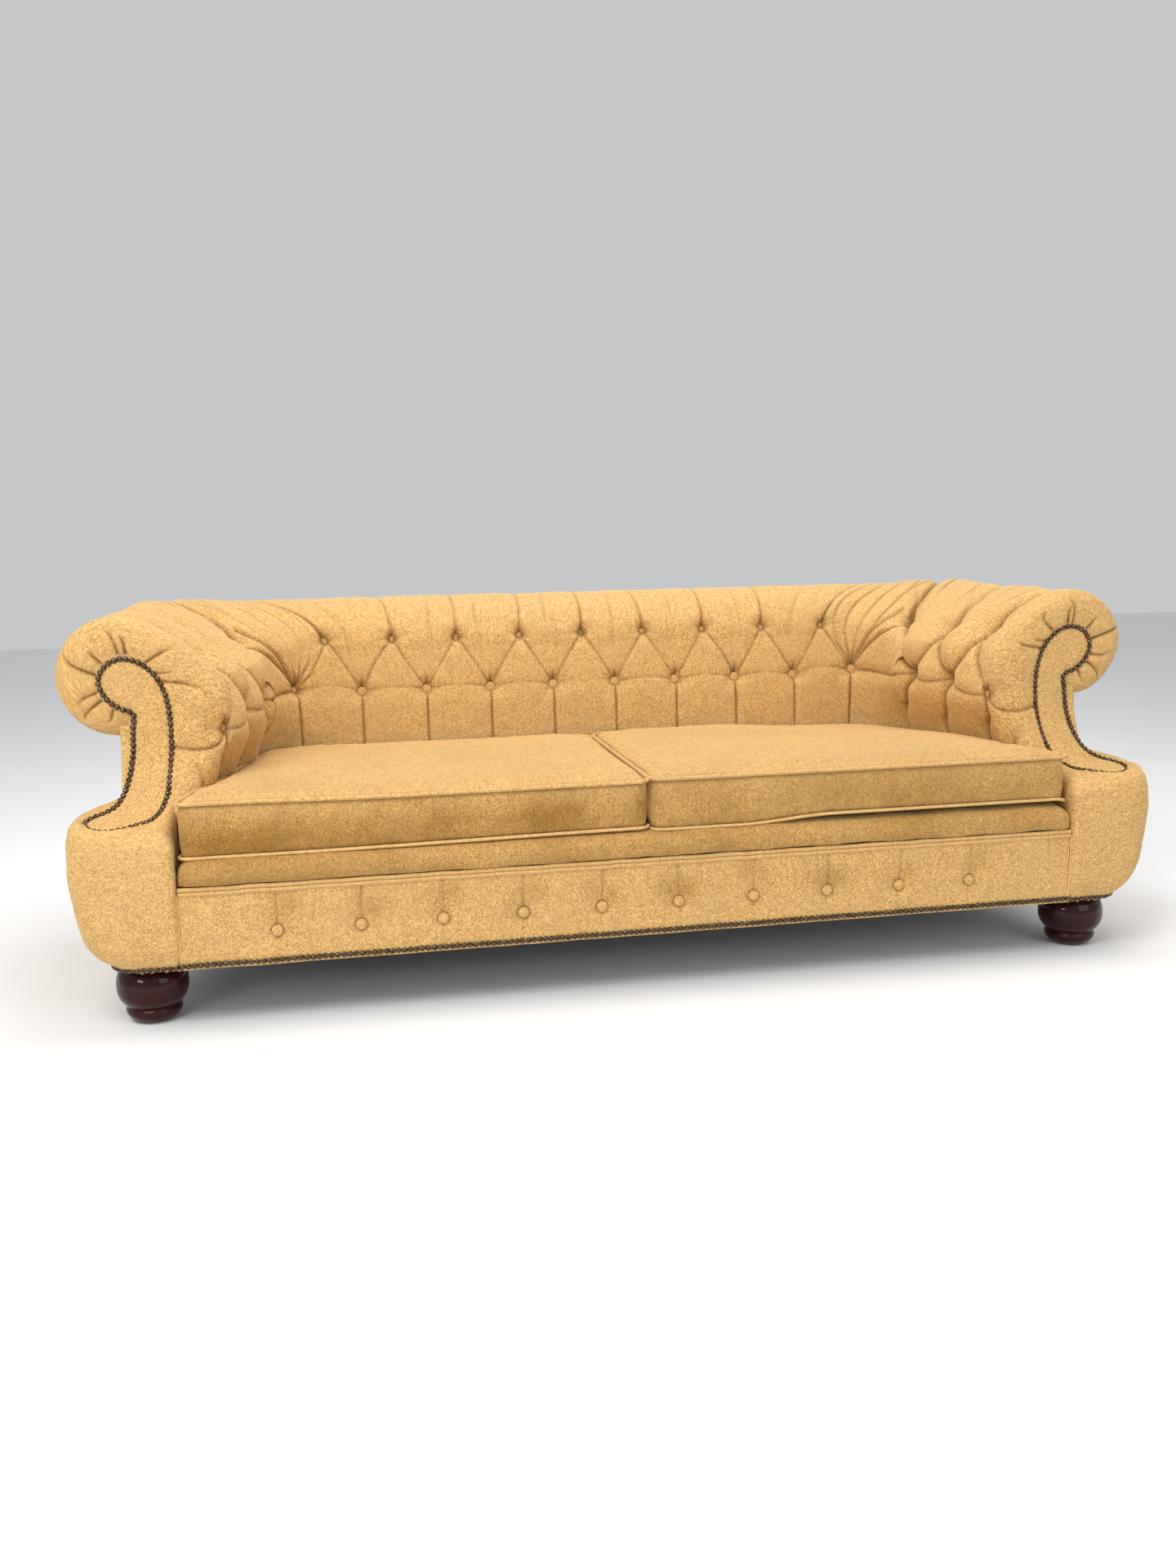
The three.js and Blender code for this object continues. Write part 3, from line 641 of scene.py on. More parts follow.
def facing_matrix(origin, normal, spin=0.0):
    z = Vector(normal).normalized()
    m = z.to_track_quat("Z", "Y").to_matrix() @ Matrix.Rotation(spin, 3, "Z")
    m = m.to_4x4()
    m.translation = Vector(origin)
    return m


def lathe(profile, sides):
    """Points and faces of a profile of (radius, height) turned about Z."""
    rings = []
    for r, z in profile:
        for k in range(sides):
            a = 2 * math.pi * k / sides
            rings.append((r * math.cos(a), r * math.sin(a), z))
    return np.array(rings), grid_faces(len(profile), sides, closed=True)


def button_mesh(radius, height):
    """A covered button: a low dome with a rolled rim."""
    profile = [(0.001, 1), (0.35, 0.97), (0.65, 0.86), (0.87, 0.62), (1.0, 0.25), (0.98, -0.2), (0.8, -0.6)]
    return lathe([(r * radius, z * height) for r, z in profile[::-1]], 24)


def nail_mesh():
    """A domed upholstery nail."""
    skirt = [(0.0052, -0.001), (0.0056, 0.0004), (0.0053, 0.0016)]
    dome = [(0.0043, 0.0029), (0.0026, 0.0038), (0.0001, 0.0042)]
    return lathe(skirt + dome, 12)


def nail_line(name, points, normals, pitch=0.0113, stands_for=()):
    """Nails side by side along a line, each turned to face out of the cloth and set by hand."""
    points, normals = np.asarray(points, float), np.asarray(normals, float)
    along = lengths(points)
    even = np.linspace(0, along[-1], int(along[-1] / pitch))
    both = np.concatenate([points, normals], -1)
    places = np.stack([np.interp(even, along, both[:, k]) for k in range(6)], -1)
    made = []
    for p in places:
        jog = np.array([rng.uniform(-1, 1) for _ in range(3)])
        tip = Vector(p[3:]).normalized() + Vector(jog) * 0.10
        made.append(facing_matrix(p[:3] + jog * 0.0004, tip, rng.uniform(0, 6.3)))
    return finish_piece(scatter(name, *nail_mesh(), made), NAILS, slot="antique_nails", stands_for=stands_for)


def fabric_buttons(name, places, radius=0.0112, height=0.0055, body="root"):
    made = [facing_matrix(p, n, rng.uniform(0, 6.3)) for p, n in places]
    obj = scatter(name, *button_mesh(radius, height), made)
    lay_box(obj)
    n = len(obj.data.vertices)
    paint(obj, "wear", np.full(n, 0.12))
    return soft_cloth(obj, body=body)


# ---------------------------------------------------------------- the buttoned cover of arms and back
def cover_columns(step):
    """Distances along the padded wall, closer together beside the pleats of the back."""
    stops = [(-FRONT_SPAN, step), (ARM_LEN - 0.04, 0.55 * step), (S_CORNER + 0.05, step), (S_END, step)]
    runs = [np.arange(a, b, space) for (a, space), (b, _) in zip(stops, stops[1:])]
    s = np.append(np.concatenate(runs), S_END)
    reach = 3 * step
    for pleat, _ in [CORNER_BUTTON] + BACK_LOW:
        d = s - pleat
        near = np.abs(d) < reach
        s = np.where(near, pleat + np.sign(d) * reach * (np.abs(d) / reach) ** 1.6, s)
    return s


def tufted_cover():
    step = 0.0033
    half = cover_columns(step)
    h = np.linspace(WALL_FOOT_Z, TUCK_H, int((TUCK_H - WALL_FOOT_Z) / step))
    right = crest(half[:, None], h[None, :])
    left = right[::-1][1:] * np.array([-1, 1, 1])
    points = np.concatenate([right, left])
    rows, cols = points.shape[:2]
    flat = points.reshape(-1, 3)
    depth, cleft = fold_depths(flat, CREASES)
    along = np.concatenate([half, half[::-1][1:]])
    free = 0.15 + 0.85 * ease((np.repeat(along, cols) + FRONT_SPAN) / 0.006)
    lumps = 0.0014 * ripple(flat, 0.09, 3) + 0.0006 * ripple(flat, 0.035, 4)
    moved = flat - grid_normals(points).reshape(-1, 3) * ((depth + lumps) * free)[:, None]
    obj = mesh_object("tufted_cover", to_world(moved), grid_faces(rows, cols))
    # Painted shade in the clefts of the folds.
    paint(obj, "fold", cleft)
    lay_grid(obj, points)
    return soft_cloth(obj, stands_for=("left_arm_pad", "right_arm_pad", "back_pad"), fill=0.8)


def tuft_place(side, s, h):
    """Centre and outward way of a button that sits in the bottom of its pit."""
    eps = 0.003
    du = crest(s + eps, h) - crest(s - eps, h)
    dv = crest(s, h + eps) - crest(s, h - eps)
    n = unit(np.cross(dv, du)) * [side, 1, 1]
    p = crest(s, h)[None] * [side, 1, 1]
    depth, _ = fold_depths(p, CREASES)
    return to_world(p[0] - n * (depth[0] - 0.0065)), n * [1, 1, 0.5]


def tuft_buttons():
    back = [tuft_place(1, *b) for b in BACK_BUTTONS]
    back += [tuft_place(-1, *b) for b in BACK_BUTTONS if b != BACK_TOP[0]]
    fabric_buttons("back_buttons", back)
    for name, side in (("left_arm_buttons", -1), ("right_arm_buttons", 1)):
        fabric_buttons(name, [tuft_place(side, *b) for b in ARM_BUTTONS])


# ---------------------------------------------------------------- scroll facings
STEM_Z = 0.560  # below this the arm's front swings forward as a ramp
RAMP_DEPTH, RAMP_RISE, RAMP_FOOT = 0.132, 0.170, 0.050
RAMP_TURN = np.linspace(math.pi / 2, 0, 40)
RAMP_LINE = np.stack([RAMP_FOOT + RAMP_DEPTH * np.sin(RAMP_TURN), STEM_Z - RAMP_RISE * np.cos(RAMP_TURN)], -1)
RAMP_RUN = lengths(RAMP_LINE)
STEM_D = RAMP_FOOT + RAMP_DEPTH


def ramp(v):
    """Depth and height of the arm's front for v, the distance up it. v is the height above the ramp."""
    run = STEM_Z - v
    depth = np.interp(run, RAMP_RUN, RAMP_LINE[:, 0])
    z = np.interp(run, RAMP_RUN, RAMP_LINE[:, 1])
    past = np.maximum(run - RAMP_RUN[-1], 0)
    depth = depth - past
    z = np.where(run > 0, z - 0.22 * past, v)
    return depth, z


def ramp_v(depth):
    """v for a depth on the ramp."""
    if depth < RAMP_FOOT:
        return STEM_Z - RAMP_RUN[-1] - (RAMP_FOOT - depth)
    return STEM_Z - float(np.interp(-depth, -RAMP_LINE[:, 0], RAMP_RUN))


# Nails of the right scroll, as (x, height) down the stem and (x, depth) on the ramp below it.
SCROLL_TOP = [
    (0.977, 0.555), (0.975, 0.580), (0.999, 0.592), (1.022, 0.612), (1.034, 0.643), (1.020, 0.673),
    (0.990, 0.686), (0.960, 0.679), (0.938, 0.662), (0.922, 0.640), (0.913, 0.612), (0.908, 0.575),
]  # fmt: skip
SCROLL_FOOT_IN = [(0.909, 0.175), (0.913, 0.155), (0.918, 0.132), (0.928, 0.101)]
SCROLL_FOOT = [(0.942, 0.074), (0.962, 0.052), (0.988, 0.034), (1.016, 0.026), (1.040, 0.032), (1.058, 0.052)]
SCROLL_TIP = [(1.062, 0.074), (1.050, 0.092), (1.028, 0.104), (1.010, 0.118)]
SCROLL_FOOT_OUT = [(0.999, 0.134), (0.991, 0.150), (0.984, 0.166), (0.979, 0.178)]


def facing_outline():
    """Closed line of the nails round the right scroll, as (x, v)."""
    ramp_part = SCROLL_FOOT_IN + SCROLL_FOOT + SCROLL_TIP + SCROLL_FOOT_OUT
    knots = SCROLL_TOP + [(x, ramp_v(d)) for x, d in ramp_part]
    knots = np.array(knots + knots[:1])
    line = spline(lengths(knots), knots, np.linspace(0, lengths(knots)[-1], 300))
    return resample(line, 260)[:-1]


OUTLINE = facing_outline()


def facing_surface(xv, lift=0.0):
    """Points of the right facing for (x, v), stood off the arm's front by lift, and the way out of it."""
    xv = np.asarray(xv, float)
    depth, z = ramp(xv[:, 1])
    d2, z2 = ramp(xv[:, 1] + 0.002)
    up = unit(np.stack([d2 - depth, z2 - z], -1))
    out = np.stack([np.zeros(len(xv)), -up[:, 1], up[:, 0]], -1)
    points = np.stack([xv[:, 0], depth, z], -1)
    return points + out * np.reshape(lift, (-1, 1)), out


def inside_outline(xv):
    """Which points lie within the outline, by counting crossings."""
    a, b = OUTLINE, np.roll(OUTLINE, -1, 0)
    x, y = xv[:, 0, None], xv[:, 1, None]
    spans = (a[:, 1] > y) != (b[:, 1] > y)
    rise = np.where(b[:, 1] == a[:, 1], 1e-9, b[:, 1] - a[:, 1])
    cross = a[:, 0] + (y - a[:, 1]) / rise * (b[:, 0] - a[:, 0])
    return (spans & (x < cross)).sum(1) % 2 == 1


def outline_distance(xv):
    return np.linalg.norm(xv[:, None] - OUTLINE[None], axis=2).min(1)


def facing(name, side):
    """The flat padded panel inside the nails of an arm's front."""
    lo, hi = OUTLINE.min(0), OUTLINE.max(0)
    gx, gv = np.meshgrid(np.arange(lo[0], hi[0], 0.005), np.arange(lo[1], hi[1], 0.005))
    inner = np.stack([gx.ravel(), gv.ravel()], -1)
    inner = inner[inside_outline(inner)]
    inner = inner[outline_distance(inner) > 0.004]
    flat = np.concatenate([OUTLINE, inner])
    n = len(OUTLINE)
    edges = [(i, (i + 1) % n) for i in range(n)]
    made = delaunay_2d_cdt([Vector(p) for p in flat], edges, [], 1, 1e-7)
    xv = np.array([tuple(p) for p in made[0]])
    far = outline_distance(xv)
    lift = 0.0045 * (1 - np.exp(-far / 0.007)) - 0.001
    points, _ = facing_surface(xv, lift)
    points += 0.0005 * ripple(points, 0.05, 9)[:, None] * [0, -1, 0.3]
    points[:, 0] *= side
    faces = [f[::side] for f in made[2]]
    obj = mesh_object(name, to_world(points), faces)
    lay_cloth(obj, xv[:, 0], xv[:, 1])
    # Painted shade along the nail line, where the cloth dips to the nails.
    paint(obj, "fold", 0.55 * (1 - np.clip(far / 0.006, 0, 1)))
    return soft_cloth(obj, stands_for=(name.removesuffix("_cover"),), fill=0.9)


def scroll_nails(name, side):
    points, out = facing_surface(np.concatenate([OUTLINE, OUTLINE[:1]]), 0.0015)
    points[:, 0] *= side
    return nail_line(name, to_world(points), out, stands_for=(name.replace("nails", "nail_strip"),))


# ---------------------------------------------------------------- arm blocks
BLOCK_X = 0.901
BLOCK_BACK = 0.205
# Height, how far the block's front face lies behind the front panel, and where its outer side is.
BLOCK_ROWS = [
    (0.118, 0.008, 1.018),
    (0.127, 0.001, 1.032),
    (0.140, -0.006, 1.052),
    (0.160, -0.011, 1.068),
    (0.200, -0.014, 1.083),
    (0.250, -0.016, 1.091),
    (0.300, -0.017, 1.095),
    (0.340, -0.016, 1.094),
]


def block_row(front, outer, count):
    inner_side = [(BLOCK_X, 0.128), (BLOCK_X, front)]
    outer_side = [(outer, front), (outer, BLOCK_BACK), (1.002, BLOCK_BACK + 0.004)]
    return resample(rounded(inner_side + outer_side, [0, 0.014, 0.072, 0.040, 0]), count)


def block_rim(count):
    """The part of the nail line that the block's top is pulled to, from its inner to its outer side."""
    inner = SCROLL_FOOT_IN[2:]
    outer = SCROLL_TIP + SCROLL_FOOT_OUT[:1]
    line = [(x, ramp_v(d)) for x, d in inner + SCROLL_FOOT + outer]
    return facing_surface(resample(line, count), 0.001)[0]


def block_pad(name, side):
    """The bulging block under an arm's front: up its sides, then over and down to the nails."""
    count = 130
    heights = [row[0] for row in BLOCK_ROWS]
    fine = spline(heights, BLOCK_ROWS, np.linspace(heights[0], heights[-1], 46))
    rows = []
    for z, front, outer in fine:
        xy = block_row(front, outer, count)
        rows.append(np.concatenate([xy, np.full((count, 1), z)], -1))
    start, end = rows[-1], block_rim(count)
    away = unit((start - end) * [1, 1, 0])
    across = np.clip((start[:, 0:1] - 0.93) / 0.14, 0, 1)
    ahead = np.clip(-away[:, 1:2], 0, 1)
    rise = start + [0, 0, 0.048] - ahead * [0, 0, 0.010]
    near = end + away * 0.030 + [0, 0, 0.010] + across * [0, 0, 0.016] - ahead * [0, 0, 0.014]
    for t in np.linspace(0, 1, 22)[1:]:
        early = (1 - t) ** 3 * start + 3 * t * (1 - t) ** 2 * rise
        rows.append(early + 3 * t * t * (1 - t) * near + t**3 * end)
    points = np.array(rows)
    flat = points.reshape(-1, 3)
    creases = block_pleats(points)
    depth, cleft = fold_depths(flat, creases)
    lumps = depth - 0.0016 * ripple(flat, 0.10, 5) - 0.0007 * ripple(flat, 0.03, 6)
    moved = flat + grid_normals(points).reshape(-1, 3) * lumps[:, None]
    moved[:, 0] *= side
    obj = mesh_object(name, to_world(moved), grid_faces(*points.shape[:2], flip=side < 0))
    # Painted shade in the clefts of the gathers.
    paint(obj, "fold", cleft)
    lay_grid(obj, points)
    return soft_cloth(obj, stands_for=(name.replace("cover", "pad"),), fill=0.9)


def block_pleats(points):
    """Small gathers where the block's cover is nailed under its foot and round the scroll."""
    r = random.Random(31)
    made = []
    for j in range(34, points.shape[1] - 20, 7):
        up = 3 + r.randrange(3)
        made.append(Crease(points[0:up, j + r.randrange(3)], [0.0035, 0.0005], 0.009, sharp=0.5))
    for j in range(36, points.shape[1] - 24, 9):
        made.append(Crease(points[-1 : -5 : -1, j + r.randrange(4)], [0.003, 0.0005], 0.010, sharp=0.4))
    return made


def block_nails(name, side):
    line = block_row(0.001, 1.031, 200)
    start = np.argmax(line[:, 1] < 0.02)
    line = line[start:-30]
    ahead = unit(np.gradient(line, axis=0))
    out = np.stack([ahead[:, 1], -ahead[:, 0], np.full(len(line), -0.35)], -1)
    points = np.concatenate([line, np.full((len(line), 1), 0.1255)], -1) + out * 0.001
    points[:, 0] *= side
    out[:, 0] *= side
    return nail_line(name, to_world(points), out, stands_for=(name.replace("nails", "nail_strip"),))


# ---------------------------------------------------------------- front panel, welt and lip
PANEL_PITCH = 0.1555
PANEL_BUTTON_Z = 0.184
PANEL_SHIFT = -0.024  # the panel's buttons were set out a little left of the middle
PANEL_NAIL_Z = 0.1285
PANEL_TOP_Z = 0.2655


def panel_creases():
    r = random.Random(41)
    made = []
    for k in range(10):
        x = (k - 4.5) * PANEL_PITCH + PANEL_SHIFT
        z = PANEL_BUTTON_Z
        lean = r.uniform(-0.004, 0.004)
        made.append(Crease([(x, 0, z), (x + 1e-4, 0, z)], [0.009], 0.034, sharp=0.3, cleft=0.010, flat=0.007))
        up = [(x, 0, z), (x + 0.3 * lean, 0, z + 0.030), (x + lean, 0, 0.28)]
        made.append(Crease(up, [0.009, 0.005, 0.004], 0.024, sharp=0.55, cleft=0.006))
        low = [(x, 0, z), (x - lean, 0, z - 0.025), (x - lean, 0, PANEL_NAIL_Z)]
        made.append(Crease(low, [0.006, 0.002, 0.001], 0.016, sharp=0.5, cleft=0.006))
        for way in (-1, 1):
            far = r.uniform(0.018, 0.034)
            made.append(Crease([(x, 0, z), (x + way * far, 0, z - 0.4 * far)], [0.004, 0.0003], 0.009))
            made.append(Crease([(x, 0, z), (x + way * 0.7 * far, 0, z + far)], [0.003, 0.0003], 0.009))
    made.append(Crease([(-0.9, 0, PANEL_NAIL_Z), (0.9, 0, PANEL_NAIL_Z)], [0.003], 0.010, sharp=0.2))
    return made


def panel_soil(points):
    """Where hands and heels have darkened the panel: patches beside its pleats."""
    r = random.Random(43)
    soil = np.zeros(len(points))
    for k in range(10):
        x = (k - 4.5) * PANEL_PITCH + PANEL_SHIFT
        for shift in (-0.022, 0.020):
            across = (points[:, 0] - x - shift) / r.uniform(0.016, 0.036)
            up = (points[:, 2] - r.uniform(0.205, 0.240)) / 0.026
            soil += r.uniform(0.15, 1.0) * np.exp(-(across**2) - up**2)
    return soil


def front_panel():
    step = 0.0035
    x = np.linspace(-SEAT_HALF + 0.001, SEAT_HALF - 0.001, int(2 * SEAT_HALF / step))
    z = np.linspace(BASE_Z, PANEL_TOP_Z + 0.004, int((PANEL_TOP_Z - BASE_Z) / step))
    points = np.stack(np.meshgrid(x, [0.0], z, indexing="ij"), -1)[:, 0]
    flat = points.reshape(-1, 3).copy()
    depth, cleft = fold_depths(flat, panel_creases())
    swell = 0.0015 * ripple(flat, 0.13, 12) + 0.0006 * ripple(flat, 0.04, 13)
    flat[:, 1] += depth + swell - 0.003
    tuck = ease((BASE_Z + 0.006 - flat[:, 2]) / 0.006)
    flat[:, 1] += 0.006 * tuck
    obj = mesh_object("front_panel_cover", to_world(flat), grid_faces(*points.shape[:2], flip=False))
    # Painted shade in the clefts of the pleats and along the nail line.
    paint(obj, "fold", cleft * 0.8)
    paint(obj, "soil_and_shade", panel_soil(points.reshape(-1, 3)))
    lay_grid(obj, points)
    soft_cloth(obj, stands_for=("front_border_panel",))
    places = [((k - 4.5) * PANEL_PITCH + PANEL_SHIFT, FRONT + 0.003, PANEL_BUTTON_Z) for k in range(10)]
    fabric_buttons("front_panel_buttons", [(p, (0, -1, 0.05)) for p in places], radius=0.011, height=0.0062)


def front_nails():
    x = np.linspace(-SEAT_HALF, SEAT_HALF, 60)
    points = np.stack([x, np.full_like(x, -0.0035), np.full_like(x, PANEL_NAIL_Z)], -1)
    nail_line("base_nails", to_world(points), np.tile([0, -1, 0], (60, 1)), stands_for=("base_nail_strip",))


def double_welt():
    """Two cords side by side that cover the joint of panel and lip."""
    x = np.linspace(-SEAT_HALF + 0.002, SEAT_HALF - 0.002, 240)
    cords = []
    for k, z in enumerate((PANEL_TOP_Z, PANEL_TOP_Z + 0.0085)):
        points = np.stack([x, np.full_like(x, -0.003), np.full_like(x, z)], -1)
        points[:, 2] += 0.0006 * ripple(points * [1, 0, 0], 0.06, 15)
        cords.append(tube(f"front_welt_cord_{k + 1}", to_world(points), 0.0042, wear=0.3))
    soft_cloth(cords[0], stands_for=("front_welt",))
    soft_cloth(cords[1])
    for name, side in (("left", -1), ("right", 1)):
        z = np.linspace(BASE_Z + 0.004, PANEL_TOP_Z, 60)
        x = np.full_like(z, side * (SEAT_HALF + 0.0005))
        seam = np.stack([x, np.full_like(z, -0.0035), z], -1)
        soft_cloth(tube(f"{name}_panel_seam", to_world(seam), 0.0016, sides=6))


# Section of the seat's edge roll, as (depth, z), from under its front to its back.
LIP = [(0.004, 0.2775), (-0.007, 0.281), (-0.0135, 0.290), (-0.0150, 0.303), (-0.0115, 0.316),
       (-0.001, 0.3255), (0.018, 0.3290), (0.050, 0.3290), (0.094, 0.3280)]  # fmt: skip


def deck_lip():
    """The stuffed edge roll of the seat, whose ends are drawn in and rounded."""
    profile = resample(spline(range(len(LIP)), LIP, np.linspace(0, len(LIP) - 1, 60)), 44)
    x = np.linspace(-SEAT_HALF, SEAT_HALF, 420)
    end = np.clip((np.abs(x) - (SEAT_HALF - 0.034)) / 0.034, 0, 1)
    keep = np.sqrt(np.maximum(1 - end**2, 0))
    depth = 0.010 + (profile[None, :, 0] - 0.010) * np.where(profile[None, :, 0] < 0.010, keep[:, None], 1)
    low = LIP[0][1]
    z = low + (profile[None, :, 1] - low) * (0.35 + 0.65 * keep[:, None])
    points = np.stack([np.broadcast_to(x[:, None], depth.shape), depth, z], -1)
    flat = points.reshape(-1, 3)
    bumps = 0.0013 * ripple(flat, 0.11, 17) + 0.0005 * ripple(flat, 0.03, 18)
    moved = flat + grid_normals(points).reshape(-1, 3) * bumps[:, None]
    obj = mesh_object("deck_lip_cover", to_world(moved), grid_faces(*points.shape[:2]))
    lay_grid(obj, points)
    # The whole lip is painted darker than the plain cloth.
    paint(obj, "soil_and_shade", np.full(len(flat), 1.2))
    soft_cloth(obj, stands_for=("deck_front_lip",), fill=0.9)


# ---------------------------------------------------------------- seat deck
def copy_solid(node, name):
    """A new mesh object in the shape of a CAD solid."""
    obj = bpy.data.objects.new(name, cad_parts[node].data.copy())
    obj.data.materials.clear()
    bpy.context.scene.collection.objects.link(obj)
    return obj


def apply_modifiers(obj):
    """Bakes an object's modifiers into its mesh."""
    graph = bpy.context.evaluated_depsgraph_get()
    mesh = bpy.data.meshes.new_from_object(obj.evaluated_get(graph))
    obj.modifiers.clear()
    obj.data = mesh


def vertex_array(obj):
    co = np.empty(len(obj.data.vertices) * 3)
    obj.data.vertices.foreach_get("co", co)
    return co.reshape(-1, 3)


def set_vertices(obj, co):
    obj.data.vertices.foreach_set("co", co.ravel())
    obj.data.update()


def seat_deck():
    """The platform under the loose cushions: hollow in the middle, as a deck on springs is."""
    obj = copy_solid("deck_pad", "deck_cover")
    mod = obj.modifiers.new("remesh", "REMESH")
    mod.mode = "VOXEL"
    mod.voxel_size = 0.008
    smooth = obj.modifiers.new("smooth", "SMOOTH")
    smooth.iterations = 6
    apply_modifiers(obj)
    obj.data.shade_smooth()
    co = vertex_array(obj)
    on_top = ease((co[:, 2] - DECK_HI.z + 0.008) / 0.006)
    middle = (1 - (co[:, 0] / 0.87) ** 4) * (1 - ((co[:, 1] - FRONT - 0.36) / 0.27) ** 4)
    co[:, 2] += on_top * (0.0012 * ripple(co, 0.12, 21) - 0.004 * np.clip(middle, 0, 1))
    set_vertices(obj, co)
    lay_box(obj)
    soft_cloth(obj, stands_for=("deck_pad",), fill=0.8)


# ---------------------------------------------------------------- loose seat cushions
CUSHION_LO, CUSHION_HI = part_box("right_cushion_cover")
BOTTOM_SEAM_Z = CUSHION_LO.z + 0.0015
TOP_SEAM_Z = 0.428
CROWN = 0.009
CORD_R = 0.0039
FILL_CAP = 0.0075  # how far the filling may move a point of the cover
VOXEL = 0.0065


def cushion_plan():
    """Closed outline of the right cushion's seams, anticlockwise from the front centre corner."""
    inset = 0.0015
    front = CUSHION_LO.y - FRONT + inset
    back = CUSHION_HI.y - FRONT - inset

    def wall(depth):
        return arm_line(depth) - 0.004 - inset

    corners = [
        (CUSHION_LO.x + inset, front),
        (CUSHION_HI.x - inset, front),
        (0.870 - inset, 0.116),
        (wall(0.205), 0.205),
        (wall(0.470), 0.470),
        (CORNER_X + CORNER_R * 0.69, CORNER_D + CORNER_R * 0.66),
        (CORNER_X - 0.03, back),
        (CUSHION_LO.x + inset, back),
    ]
    return rounded(corners, [0.032, 0.022, 0.09, 0.12, 0.10, 0.03, 0.10, 0.060], closed=True, turns=9)


PLAN = resample(np.concatenate([cushion_plan(), cushion_plan()[:1]]), 401)[:-1]


def plan_distance(xy):
    """Distance from each point to the seam outline."""
    best = np.full(len(xy), 9.0)
    for a, b in zip(PLAN, np.roll(PLAN, -1, 0)):
        ab = b - a
        t = np.clip(((xy - a) @ ab) / (ab @ ab), 0, 1)
        best = np.minimum(best, np.linalg.norm(xy - a - t[:, None] * ab, axis=1))
    return best


def cushion_block(name):
    """The stuffed shape before the cover pulls it: straight sides and a low crown."""
    n = len(PLAN)
    levels = np.linspace(BOTTOM_SEAM_Z, TOP_SEAM_Z, 14)
    rings = [np.concatenate([PLAN, np.full((n, 1), z)], -1) for z in levels]
    centre = np.array([0.44, 0.31])
    for k in np.linspace(0, 1, 12)[1:]:
        xy = PLAN + (centre - PLAN) * (1 - math.cos(k * math.pi / 2)) * 0.985
        height = CROWN * (1 - (1 - math.sin(k * math.pi / 2)) ** 1.6)
        rings.append(np.concatenate([xy, np.full((n, 1), TOP_SEAM_Z + height)], -1))
    bottom = [
        np.concatenate([PLAN + (centre - PLAN) * k, np.full((n, 1), BOTTOM_SEAM_Z)], -1)
        for k in np.linspace(0.985, 0, 10)[:-1]
    ]
    rings = bottom + rings
    verts = np.concatenate(rings)
    faces = [list(f) for f in grid_faces(len(rings), n, closed=True)]
    faces.append(list(range(n))[::-1])
    faces.append([(len(rings) - 1) * n + i for i in range(n)])
    return mesh_object(name, to_world(verts), faces)


def remesh(obj, size):
    mod = obj.modifiers.new("remesh", "REMESH")
    mod.mode = "VOXEL"
    mod.voxel_size = size
    apply_modifiers(obj)


def inflate(obj, held):
    """Lets cloth pressure fill the cover between its seams, and keeps every point near its start."""
    start = vertex_array(obj)
    group = obj.vertex_groups.new(name="seams")
    for i in np.nonzero(held)[0]:
        group.add([int(i)], 1.0, "REPLACE")
    mod = obj.modifiers.new("cloth", "CLOTH")
    cloth = mod.settings
    cloth.quality = 4
    cloth.mass = 0.4
    cloth.use_pressure = True
    cloth.uniform_pressure_force = 5.0
    cloth.shrink_min = -0.025
    cloth.tension_stiffness = 12
    cloth.compression_stiffness = 12
    cloth.bending_stiffness = 0.6
    cloth.effector_weights.gravity = 0
    cloth.vertex_group_mass = "seams"
    mod.collision_settings.use_collision = False
    for f in range(1, 21):
        bpy.context.scene.frame_set(f)
    apply_modifiers(obj)
    bpy.context.scene.frame_set(1)
    moved = vertex_array(obj) - start
    far = np.linalg.norm(moved, axis=1, keepdims=True)
    set_vertices(obj, start + moved * np.minimum(1, FILL_CAP / np.maximum(far, 1e-9)))
    obj.vertex_groups.clear()


def settle(points, side):
    """How use has shaped a cushion: ends that rise off the deck, and a hollow or two on top."""
    x = np.abs(points[:, 0])
    d = points[:, 1] - FRONT
    front = np.clip(1 - d / 0.30, 0, 1) ** 1.5
    low = np.clip((0.400 - points[:, 2]) / 0.07, 0, 1)
    out = points.copy()
    if side < 0:
        lift = 0.006 * ease((0.75 - x) / 0.75) * front
    else:
        lift = 0.013 * ease((x - 0.18) / 0.20) * ease((0.915 - x) / 0.05) * front
    out[:, 2] += lift * low
    high = np.clip((points[:, 2] - 0.36) / 0.05, 0, 1)
    sunk = ease((d - 0.25) / 0.30) * ease((x - 0.3) / 0.4)
    out[:, 2] += high * ((0.003 - 0.014 * sunk) if side > 0 else 0.004 * ease((x - 0.5) / 0.3))
    out[:, 2] += 0.004 * ripple(points * [1, 1, 0], 0.33, 51 + side) * ease((points[:, 2] - 0.43) / 0.02)
    return out


def seam_gathers(points, side):
    """Little puckers in the cover beside its seams."""
    xy = points[:, :2] * [side, 1] - [0, FRONT]
    to_plan = plan_distance(xy)
    along = ripple(np.concatenate([xy, xy[:, :1] * 0], -1), 0.022, 61 + side)
    top_edge = np.exp(-np.hypot(to_plan, points[:, 2] - TOP_SEAM_Z) / 0.018)
    low_edge = np.exp(-np.hypot(to_plan, points[:, 2] - BOTTOM_SEAM_Z) / 0.014)
    beside = np.hypot(to_plan, np.minimum(abs(points[:, 2] - TOP_SEAM_Z), abs(points[:, 2] - BOTTOM_SEAM_Z)))
    puckers = 0.0011 * along * (top_edge + low_edge)
    # The groove is a narrow band along the seams, where the cover is painted darker as shade.
    groove = np.exp(-((beside / 0.0075) ** 2))
    return puckers, np.maximum(top_edge, low_edge), groove


